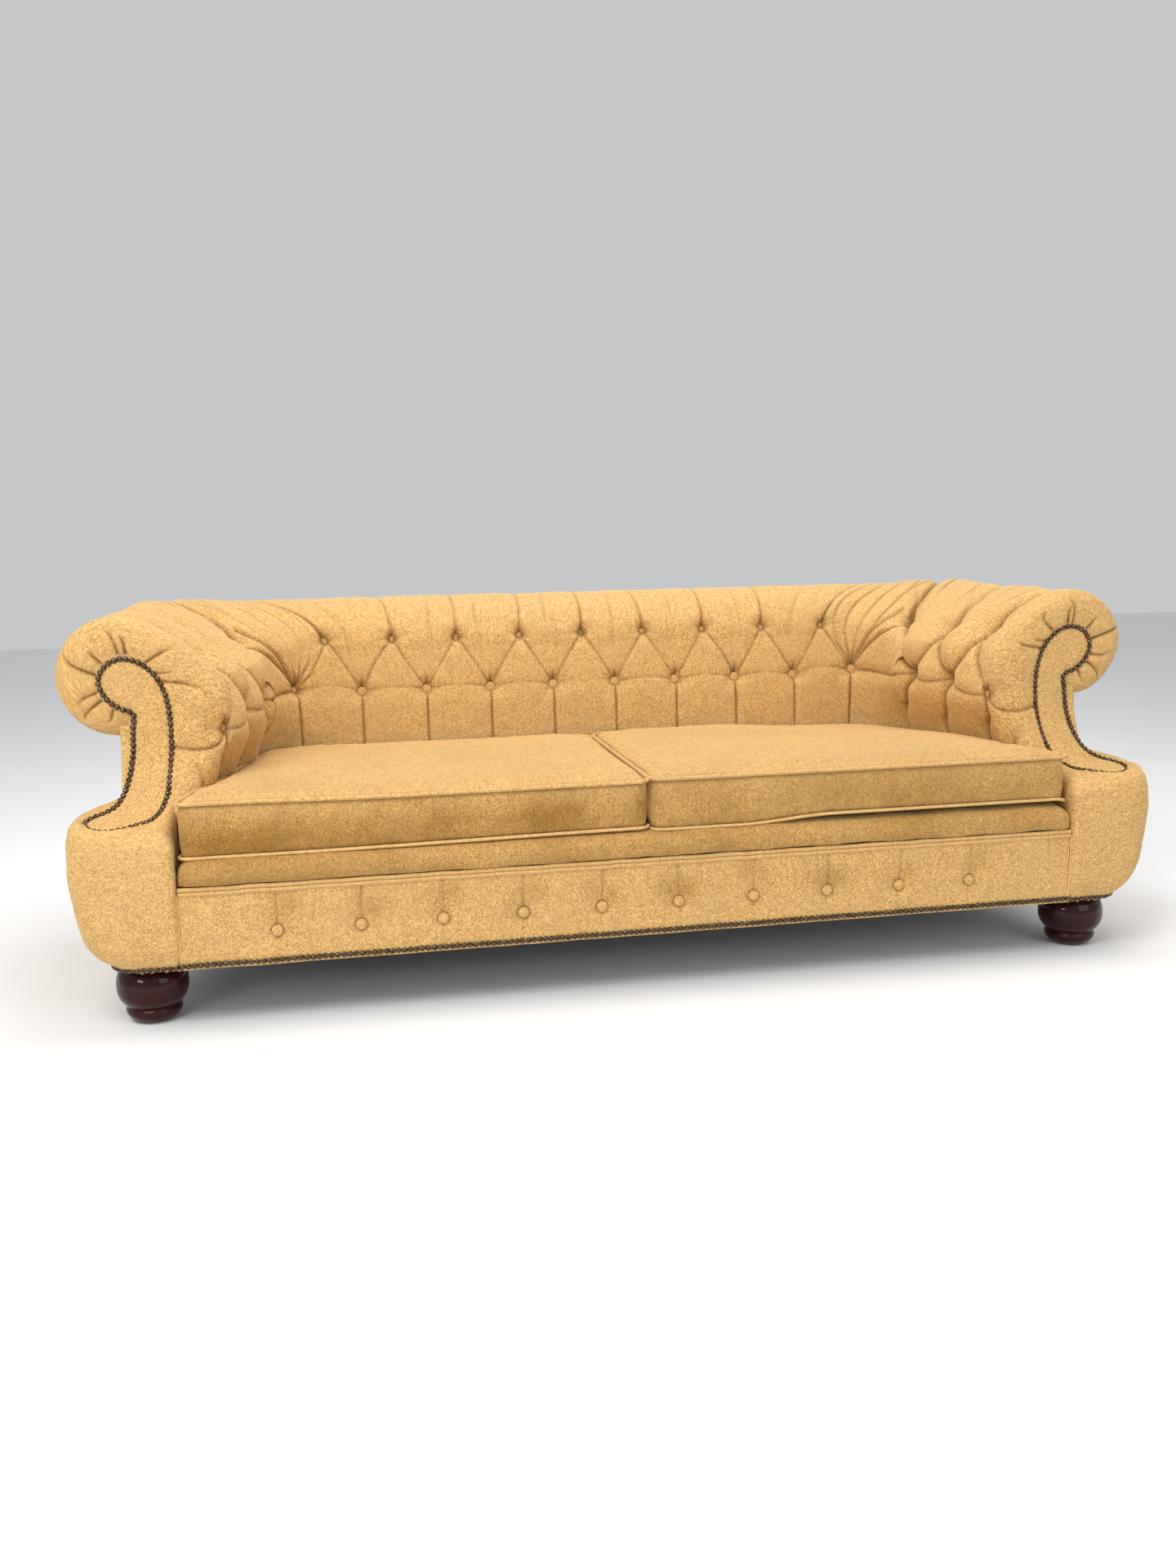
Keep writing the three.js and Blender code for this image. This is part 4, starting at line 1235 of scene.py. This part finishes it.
def cushion(side, name):
    obj = cushion_block(f"{name}_shape")
    remesh(obj, VOXEL)
    co = vertex_array(obj)
    near_plan = plan_distance(co[:, :2] - [0, FRONT]) < 0.005
    at_seam = near_plan & ((np.abs(co[:, 2] - TOP_SEAM_Z) < 0.005) | (co[:, 2] < BOTTOM_SEAM_Z + 0.004))
    on_deck = co[:, 2] < BOTTOM_SEAM_Z + 0.0015
    inflate(obj, at_seam | on_deck)
    smooth = obj.modifiers.new("smooth", "SMOOTH")
    smooth.iterations = 3
    obj.modifiers.new("finer", "SUBSURF").levels = 1
    apply_modifiers(obj)
    obj.data.shade_smooth()
    co = vertex_array(obj) * [side, 1, 1]
    normals = np.empty(len(co) * 3)
    obj.data.vertices.foreach_get("normal", normals)
    gathers, edge, groove = seam_gathers(co, side)
    co += normals.reshape(-1, 3) * [side, 1, 1] * gathers[:, None]
    set_vertices(obj, settle(co, side))
    if side < 0:
        obj.data.flip_normals()
    paint(obj, "wear", edge * 0.25)
    # Painted shade in the groove beside each piping cord.
    paint(obj, "fold", groove * 0.7)
    # The sides are painted darker than the top, as painted shade.
    on_top = ease((co[:, 2] - TOP_SEAM_Z + 0.006) / 0.010)
    # The sides darken further towards the bottom, the left cushion more than the right: partly soiling,
    # partly painted shade.
    lower_soil_and_shade = (0.8 if side < 0 else 0.2) * ease((TOP_SEAM_Z - co[:, 2]) / 0.06)
    paint(obj, "soil_and_shade", 1.0 - 0.52 * on_top + lower_soil_and_shade)
    lay_box(obj)
    obj.name = f"{name}_cushion_case"
    nodes = (f"{name}_cushion_cover", f"{name}_cushion_foam")
    soft_cloth(obj, body=f"{name}_cushion", stands_for=nodes, fill=0.85)
    for seam, z in (("top", TOP_SEAM_Z), ("bottom", BOTTOM_SEAM_Z)):
        line = np.concatenate([PLAN + [0, FRONT], np.full((len(PLAN), 1), z)], -1) * [side, 1, 1]
        line = settle(line, side)
        out = unit(line * [1, 1, 0] - [side * 0.44, FRONT + 0.31, 0])
        line += out * 0.0038
        thick, wear = (CORD_R, 0.0) if seam == "top" else (0.85 * CORD_R, 0.5)
        cord = tube(f"{name}_cushion_{seam}_piping", line, thick, closed=True, wear=wear)
        soft_cloth(cord, body=f"{name}_cushion")
    cushion_zip(name, obj)


def back_face(case, x, z):
    """Where a cushion's back face lies at x and z, found from behind."""
    hit = case.ray_cast(Vector((x, FRONT + 1.5, z)), Vector((0, -1, 0)))
    return np.array(hit[1]) if hit[0] else np.array([x, CUSHION_HI.y, z])


def cushion_zip(name, case):
    """The zip in a cushion's back face: tape sewn in, two rows of teeth, and a slider with its pull."""
    lo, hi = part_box(f"{name}_cushion_zip")
    middle = (lo.z + hi.z) / 2
    xs = np.linspace(lo.x, hi.x, 120)
    zs = middle + np.array([-0.011, -0.0105, -0.004, 0, 0.004, 0.0105, 0.011])
    lift = np.array([-0.001, 0.0007, 0.0009, 0.0006, 0.0009, 0.0007, -0.001])
    points = np.array([[back_face(case, x, z) + [0, d, 0] for z, d in zip(zs, lift)] for x in xs])
    tape = mesh_object(f"{name}_zip_tape", points.reshape(-1, 3), grid_faces(*points.shape[:2], flip=True))
    finish_piece(tape, ZIP_TAPE, f"{name}_cushion", "zip_tape", (f"{name}_cushion_zip",))
    tooth, tooth_faces = lathe([(0.0001, -0.0008), (0.0009, -0.0006), (0.0011, 0.0004), (0.0001, 0.0011)], 6)
    line = resample(points[:, 3], int((hi.x - lo.x) / 0.0021))
    made = [facing_matrix(p + [0, 0.0006, 0.0007 * (-1) ** k], (0, 1, 0)) for k, p in enumerate(line)]
    teeth = scatter(f"{name}_zip_teeth", tooth, tooth_faces, made)
    finish_piece(teeth, SPRING_STEEL, f"{name}_cushion")
    start = line[6] + [0, 0.001, 0]
    block = [(-0.004, -0.003), (0.006, -0.0035), (0.006, 0.0035), (-0.004, 0.003)]
    outline = rounded(block, [0.0012] * 4, closed=True)
    pull = rounded([(0.0, -0.0015), (0.022, -0.003), (0.022, 0.003), (0.0, 0.0015)], [0.001] * 4, closed=True)
    for part, shape, out in (("slider", outline, 0.0022), ("pull", pull, 0.0036)):
        n = len(shape)
        faces_at = (out - 0.0016, out)
        rings = [np.stack([shape[:, 0], np.full(n, d), shape[:, 1]], -1) for d in faces_at]
        verts = np.concatenate(rings) + start
        faces = list(grid_faces(2, n, closed=True)) + [list(range(n)), list(range(n, 2 * n))[::-1]]
        piece = mesh_object(f"{name}_zip_{part}", verts, faces, smooth=False)
        finish_piece(piece, SPRING_STEEL, f"{name}_cushion")


# ---------------------------------------------------------------- outside covers
OUT_X = 1.003
OUT_D = 0.790
OUT_TOP_Z = 0.560


def outer_nail_x(z):
    """x of the scroll's outer nails, and the depth of the arm's front, at a height."""
    line = SCROLL_TIP[1:] + SCROLL_FOOT_OUT
    heights = [float(ramp(ramp_v(d))[1]) for _, d in line] + [0.555, 0.580]
    xs = [x for x, _ in line] + [0.977, 0.975]
    depths = [d for _, d in line] + [STEM_D, STEM_D]
    return np.interp(z, heights, xs), np.interp(z, heights, depths)


def outside_cover():
    """The plain cloth over the outside of both arms and the back, from nail line to nail line."""
    levels = np.linspace(BASE_Z, OUT_TOP_Z, 90)
    rows = []
    for z in levels:
        x0, d0 = outer_nail_x(max(z, 0.398))
        corners = [(x0, d0), (OUT_X, d0), (OUT_X, OUT_D), (0.0, OUT_D)]
        line = rounded(corners, [0, 0.006, 0.016, 0], turns=9)
        front = resample(line[:10], 24)
        side = resample(line[9:19], 150)[1:]
        back = resample(line[18:], 220)[1:]
        right = np.concatenate([front, side, back])
        both = np.concatenate([right, right[::-1][1:] * [-1, 1]])
        rows.append(np.concatenate([both, np.full((len(both), 1), z)], -1))
    points = np.array(rows)
    flat = points.reshape(-1, 3)
    pull = 0.0012 * ripple(flat, 0.20, 71) + 0.0004 * ripple(flat, 0.05, 72)
    hem = 0.004 * ease((BASE_Z + 0.012 - flat[:, 2]) / 0.012)
    moved = flat + grid_normals(points).reshape(-1, 3) * (pull - hem)[:, None]
    obj = mesh_object("outside_cover", to_world(moved), grid_faces(*points.shape[:2]))
    lay_grid(obj, points)
    nodes = ("left_outside_arm_panel", "right_outside_arm_panel", "outside_back_panel")
    soft_cloth(obj, stands_for=nodes)
    for name, side in (("left", -1), ("right", 1)):
        z = np.linspace(BASE_Z + 0.003, OUT_TOP_Z - 0.004, 80)
        corner = np.stack([np.full_like(z, side * (OUT_X - 0.003)), np.full_like(z, OUT_D - 0.003), z], -1)
        soft_cloth(tube(f"{name}_back_corner_piping", to_world(corner), 0.0042))


# ---------------------------------------------------------------- feet
FOOT_PROFILE = [
    (0.001, 0.0), (0.029, 0.0), (0.035, 0.0015), (0.044, 0.007), (0.0500, 0.014), (0.0525, 0.021),
    (0.0520, 0.0265), (0.0500, 0.0300), (0.0515, 0.0330), (0.0570, 0.039), (0.0630, 0.048), (0.0667, 0.060),
    (0.0675, 0.073),
    (0.0662, 0.086), (0.0622, 0.098), (0.0560, 0.108), (0.0500, 0.1150), (0.0480, 0.1185), (0.001, 0.1185),
]  # fmt: skip


def bun_feet():
    for name in ("left_front", "right_front", "left_rear", "right_rear"):
        lo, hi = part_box(f"{name}_bun_foot")
        profile = spline(range(len(FOOT_PROFILE)), FOOT_PROFILE, np.linspace(0, len(FOOT_PROFILE) - 1, 90))
        profile[:, 0] = np.maximum(profile[:, 0], 0.0005)
        profile[:, 1] = np.clip(profile[:, 1], 0.0, 0.1185)
        verts, faces = lathe(profile, 72)
        verts[:, :2] += [(lo.x + hi.x) / 2, (lo.y + hi.y) / 2]
        obj = mesh_object(f"{name}_turned_foot", verts, faces)
        finish_piece(obj, TURNED_WOOD, slot="turned_wood", stands_for=(f"{name}_bun_foot",))


# ---------------------------------------------------------------- materials
class Look:
    """A material under construction: makes nodes and joins them in few words."""

    def __init__(self, name):
        self.mat = bpy.data.materials.new(name)
        self.mat.use_nodes = True
        self.tree = self.mat.node_tree
        self.shader = self.tree.nodes["Principled BSDF"]

    def node(self, kind, inputs=(), **settings):
        made = self.tree.nodes.new("ShaderNode" + kind)
        for key, value in settings.items():
            setattr(made, key, value)
        for key, value in dict(inputs).items():
            self.put(made.inputs[key], value)
        return made

    def put(self, socket, value):
        if isinstance(value, bpy.types.NodeSocket):
            self.tree.links.new(value, socket)
        else:
            socket.default_value = value

    def set(self, **inputs):
        for key, value in inputs.items():
            self.put(self.shader.inputs[key.replace("_", " ")], value)

    def coords(self, scale=(1, 1, 1), kind="Object"):
        source = self.node("TexCoord").outputs[kind]
        return self.node("Mapping", {"Vector": source, "Scale": scale}).outputs[0]

    def weave(self, scale=(1, 1, 1)):
        source = self.node("Attribute", attribute_name="weave").outputs["Vector"]
        return self.node("Mapping", {"Vector": source, "Scale": scale}).outputs[0]

    def painted(self, name):
        return self.node("Attribute", attribute_name=name).outputs["Fac"]

    def noise(self, where, scale, detail=2.0, roughness=0.5):
        inputs = {"Vector": where, "Scale": scale, "Detail": detail, "Roughness": roughness}
        return self.node("TexNoise", inputs).outputs["Fac"]

    def math(self, operation, a, b=0.5):
        return self.node("Math", {0: a, 1: b}, operation=operation).outputs[0]

    def spread(self, value, low, high, to_low=0.0, to_high=1.0):
        inputs = {"Value": value, "From Min": low, "From Max": high, "To Min": to_low, "To Max": to_high}
        return self.node("MapRange", inputs).outputs[0]

    def mix(self, factor, a, b, blend="MIX"):
        inputs = {0: factor, 6: a, 7: b}
        return self.node("Mix", inputs, data_type="RGBA", blend_type=blend).outputs[2]

    def bump(self, height, strength, distance, under=None):
        inputs = {"Height": height, "Strength": strength, "Distance": distance}
        if under is not None:
            inputs["Normal"] = under
        return self.node("Bump", inputs).outputs[0]


def rgb(r, g, b):
    return (r, g, b, 1.0)


def chenille():
    """Mustard chenille: short fuzzy yarns in a plain weave, brushed lighter and darker in patches."""
    look = Look("mustard_chenille")
    yarn = look.weave((480, 300, 1))
    nubs = look.node("TexVoronoi", {"Vector": yarn, "Scale": 1.0, "Randomness": 0.85}).outputs["Distance"]
    speck = look.noise(look.weave((1, 1, 1)), 380, 3.0, 0.75)
    thread = look.noise(look.weave((60, 900, 1)), 1.0, 2.0)
    patch = look.noise(look.coords(), 6.0, 4.0, 0.6)
    brushed = look.noise(look.coords(), 19.0, 3.0, 0.55)
    cell = look.node("TexVoronoi", {"Vector": look.weave((560, 470, 1)), "Scale": 1.0}).outputs["Color"]
    tuft = look.node("SeparateColor", {0: cell}).outputs[0]
    streak = look.noise(look.weave((230, 13, 1)), 1.0, 2.0, 0.6)
    grain = look.math("ADD", look.math("MULTIPLY", speck, 0.20), look.math("MULTIPLY", thread, 0.15))
    grain = look.math("ADD", grain, look.math("MULTIPLY", tuft, 0.43))
    grain = look.math("ADD", grain, look.math("MULTIPLY", streak, 0.22))
    colour = look.mix(look.spread(grain, 0.28, 0.68), CLOTH_DARK, CLOTH_LIGHT)
    colour = look.mix(look.spread(nubs, 0.25, 0.85, 0.0, 0.45), colour, rgb(0.34, 0.175, 0.05))
    shade = look.spread(look.math("ADD", patch, brushed), 0.75, 1.2, 0.0, 0.34)
    colour = look.mix(shade, colour, rgb(0.50, 0.33, 0.145))
    # Soil and painted shade, as painted on each piece and broken up in patches, darken the cloth towards
    # their tint.
    soil_and_shade = look.math("MULTIPLY", look.painted("soil_and_shade"), look.spread(patch, 0.35, 0.65, 0.75, 1.44))
    colour = look.mix(look.spread(soil_and_shade, 0.0, 2.4, 0.0, 1.0), colour, SOIL_AND_SHADE_TINT, "MULTIPLY")
    worn = look.math("MULTIPLY", look.painted("wear"), look.spread(brushed, 0.3, 0.7, 0.25, 0.6))
    colour = look.mix(worn, colour, rgb(0.86, 0.58, 0.26))
    # Painted shade in the clefts of folds, beside seams and along nail lines.
    fold = look.math("MULTIPLY", look.painted("fold"), 0.80)
    colour = look.mix(fold, colour, rgb(0.20, 0.095, 0.028))
    # Painted sheen: the cloth is painted lighter towards grazing angles.
    rim = look.node("LayerWeight", {"Blend": 0.22}).outputs["Facing"]
    colour = look.mix(look.spread(rim, 0.45, 1.0, 0.0, 0.30), colour, rgb(0.90, 0.60, 0.25))
    height = look.math("ADD", look.math("MULTIPLY", nubs, -0.7), look.math("MULTIPLY", tuft, 0.7))
    cloth = look.bump(height, 0.45, 0.0008)
    soft = look.bump(brushed, 0.25, 0.004, cloth)
    look.set(Base_Color=colour, Normal=soft, Roughness=look.spread(speck, 0.3, 0.7, 0.82, 0.95))
    look.set(Specular_IOR_Level=0.18, Sheen_Weight=0.24, Sheen_Roughness=0.45)
    look.set(Sheen_Tint=rgb(1.0, 0.83, 0.52))
    return look.mat


def turned_wood():
    """Dark cherry stain under thick gloss, with the grain just showing through."""
    look = Look("turned_wood")
    grain = look.noise(look.coords((14, 14, 2.5)), 9.0, 6.0, 0.65)
    pores = look.noise(look.coords((60, 60, 9)), 7.0, 3.0, 0.7)
    tone = look.math("ADD", look.math("MULTIPLY", grain, 0.75), look.math("MULTIPLY", pores, 0.25))
    dark = rgb(0.006, 0.0008, 0.0009)
    light = rgb(0.052, 0.0040, 0.0034)
    colour = look.mix(look.spread(tone, 0.30, 0.75), dark, light)
    scuffs = look.noise(look.coords(), 60.0, 4.0, 0.7)
    look.set(Base_Color=colour, Roughness=look.spread(scuffs, 0.4, 0.7, 0.40, 0.55), Coat_Weight=0.8)
    look.set(Coat_Roughness=0.02, Coat_IOR=1.30, Specular_IOR_Level=0.08)
    look.set(Normal=look.bump(tone, 0.05, 0.0006))
    return look.mat


def antique_nails():
    """Brass nail heads with dark patina, rubbed off here and there at random."""
    look = Look("antique_nails")
    patina = look.noise(look.coords(), 240.0, 3.0, 0.6)
    hammer = look.noise(look.coords(), 620.0, 1.0)
    colour = look.mix(look.spread(patina, 0.40, 0.70), rgb(0.040, 0.025, 0.015), rgb(0.22, 0.15, 0.09))
    rough = look.spread(patina, 0.35, 0.65, 0.38, 0.24)
    look.set(Base_Color=colour, Metallic=0.92, Roughness=rough, Normal=look.bump(hammer, 0.20, 0.0003))
    return look.mat


def frame_wood():
    """Sawn beech of the hidden frame."""
    look = Look("frame_wood")
    grain = look.noise(look.coords((2, 2, 30)), 5.0, 6.0, 0.6)
    fleck = look.noise(look.coords((30, 60, 60)), 8.0, 2.0)
    colour = look.mix(look.spread(grain, 0.3, 0.7), rgb(0.36, 0.20, 0.095), rgb(0.58, 0.38, 0.21))
    colour = look.mix(look.spread(fleck, 0.62, 0.7, 0.0, 0.4), colour, rgb(0.26, 0.13, 0.06))
    look.set(Base_Color=colour, Roughness=look.spread(grain, 0.3, 0.7, 0.55, 0.75))
    look.set(Normal=look.bump(grain, 0.25, 0.001), Specular_IOR_Level=0.35)
    return look.mat


def woven(name, dark, light, pitch, roughness, weight):
    """A plain open weave, such as hessian, seen as crossing rows of thread."""
    look = Look(name)
    size = 1.0 / pitch
    thread = {"Scale": size / 6.28, "Distortion": 0.6}
    warp = look.node("TexWave", {"Vector": look.coords(), **thread}, bands_direction="X")
    weft = look.node("TexWave", {"Vector": look.coords(), **thread}, bands_direction="Y")
    cross = look.math("MULTIPLY", warp.outputs["Fac"], weft.outputs["Fac"])
    fibre = look.noise(look.coords(), size * 0.9, 3.0, 0.6)
    tone = look.math("ADD", look.math("MULTIPLY", cross, 0.5), look.math("MULTIPLY", fibre, 0.5))
    colour = look.mix(look.spread(tone, 0.2, 0.75), dark, light)
    look.set(Base_Color=colour, Roughness=roughness, Specular_IOR_Level=0.15, Sheen_Weight=weight)
    look.set(Normal=look.bump(tone, 0.5, 0.0008))
    return look.mat


def spring_steel():
    """Oiled grey wire and bolts, a little rusted."""
    look = Look("spring_steel")
    rust = look.noise(look.coords(), 70.0, 5.0, 0.7)
    colour = look.mix(look.spread(rust, 0.55, 0.72), rgb(0.30, 0.31, 0.32), rgb(0.20, 0.085, 0.035))
    look.set(Base_Color=colour, Metallic=look.spread(rust, 0.55, 0.72, 1.0, 0.2))
    look.set(Roughness=look.spread(rust, 0.3, 0.7, 0.32, 0.7), Normal=look.bump(rust, 0.2, 0.0005))
    return look.mat


def zip_tape():
    """Brown woven zip tape with a herringbone feel."""
    look = Look("zip_tape")
    ribs = {"Vector": look.coords(), "Scale": 160.0, "Distortion": 0.4}
    rib = look.node("TexWave", ribs, bands_direction="DIAGONAL")
    colour = look.mix(rib.outputs["Fac"], rgb(0.20, 0.11, 0.045), rgb(0.34, 0.20, 0.09))
    look.set(Base_Color=colour, Roughness=0.85, Normal=look.bump(rib.outputs["Fac"], 0.3, 0.0004))
    return look.mat


CLOTH_DARK = rgb(0.33, 0.185, 0.055)
CLOTH_LIGHT = rgb(0.86, 0.550, 0.215)
# The tint that soil and painted shade darken the cloth towards.
SOIL_AND_SHADE_TINT = rgb(0.50, 0.41, 0.20)
FABRIC = chenille()
TURNED_WOOD = turned_wood()
NAILS = antique_nails()
FRAME_WOOD = frame_wood()
HESSIAN = woven("hessian", rgb(0.20, 0.12, 0.05), rgb(0.45, 0.32, 0.17), 0.0024, 0.95, 0.1)
DUST_CLOTH = woven("dust_cloth", rgb(0.012, 0.012, 0.013), rgb(0.045, 0.044, 0.046), 0.0011, 0.9, 0.2)
SPRING_STEEL = spring_steel()
ZIP_TAPE = zip_tape()


def dress_frame():
    """Gives the CAD nodes that stay their own materials."""
    kinds = {
        "seat_spring": SPRING_STEEL,
        "foot_bolt": SPRING_STEEL,
        "spring_cover": HESSIAN,
        "dust_cover": DUST_CLOTH,
    }
    for name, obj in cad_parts.items():
        look = next((m for key, m in kinds.items() if key in name), FRAME_WOOD)
        for slot in obj.material_slots:
            slot.material = look


# ---------------------------------------------------------------- set, light and camera
def camera():
    """Stands at the photograph's place: left of the middle, a little above the seat."""
    yaw, pitch, roll = math.radians(11.0), math.radians(10.92), math.radians(-1.05)
    ahead = Vector((math.sin(yaw) * math.cos(pitch), math.cos(yaw) * math.cos(pitch), -math.sin(pitch)))
    right = Vector((math.cos(yaw), -math.sin(yaw), 0))
    up = right.cross(ahead)
    across = right * math.cos(roll) + up * math.sin(roll)
    upright = up * math.cos(roll) - right * math.sin(roll)
    data = bpy.data.cameras.new("camera")
    data.lens = 30.19
    data.sensor_width = 36
    obj = bpy.data.objects.new("camera", data)
    bpy.context.scene.collection.objects.link(obj)
    place = Matrix((across, upright, -ahead)).transposed().to_4x4()
    place.translation = Vector((-0.6, FRONT - 2.438, 0.91))
    obj.matrix_world = place
    bpy.context.scene.camera = obj


def area_light(name, place, target, size, power, colour=(1, 1, 1)):
    data = bpy.data.lights.new(name, "AREA")
    data.shape = "RECTANGLE"
    data.size, data.size_y = size
    data.energy = power
    data.color = colour
    obj = bpy.data.objects.new(name, data)
    bpy.context.scene.collection.objects.link(obj)
    obj.location = place
    obj.rotation_euler = (Vector(target) - Vector(place)).to_track_quat("-Z", "Y").to_euler()


def studio():
    corners = [(-9, -9, 0), (9, -9, 0), (9, 9, 0), (-9, 9, 0)]
    floor = mesh_object("floor", corners, [(0, 1, 2, 3)], smooth=False)
    look = Look("pale_floor")
    tone = look.noise(look.coords(), 1.5, 3.0)
    colour = look.mix(tone, rgb(0.80, 0.80, 0.80), rgb(0.86, 0.86, 0.855))
    look.set(Base_Color=colour, Roughness=0.9)
    floor.data.materials.append(look.mat)
    world = bpy.data.worlds.new("studio")
    bpy.context.scene.world = world
    world.use_nodes = True
    world.node_tree.nodes["Background"].inputs[0].default_value = (0.97, 0.98, 1, 1)
    world.node_tree.nodes["Background"].inputs[1].default_value = 0.58
    area_light("key", (-1.9, -2.3, 3.3), (0, 0, 0.4), (2.2, 1.6), 102, (1, 0.98, 0.95))
    area_light("top", (0.5, 0.3, 3.4), (0, 0, 0.4), (2.8, 2.0), 76)
    area_light("fill", (2.0, -3.4, 1.5), (0, 0, 0.35), (2.2, 1.8), 27)
    area_light("glint", (-2.4, -2.6, 1.1), (0, 0, 0.2), (0.9, 0.35), 13)
    bpy.context.scene.view_settings.view_transform = "Standard"


camera()
studio()
dress_frame()
tufted_cover()
tuft_buttons()
for arm, arm_side in (("left", -1), ("right", 1)):
    facing(f"{arm}_arm_facing_cover", arm_side)
    scroll_nails(f"{arm}_facing_nails", arm_side)
    block_pad(f"{arm}_arm_block_cover", arm_side)
    block_nails(f"{arm}_block_nails", arm_side)
    cushion(arm_side, arm)
front_panel()
front_nails()
double_welt()
deck_lip()
seat_deck()
outside_cover()
bun_feet()
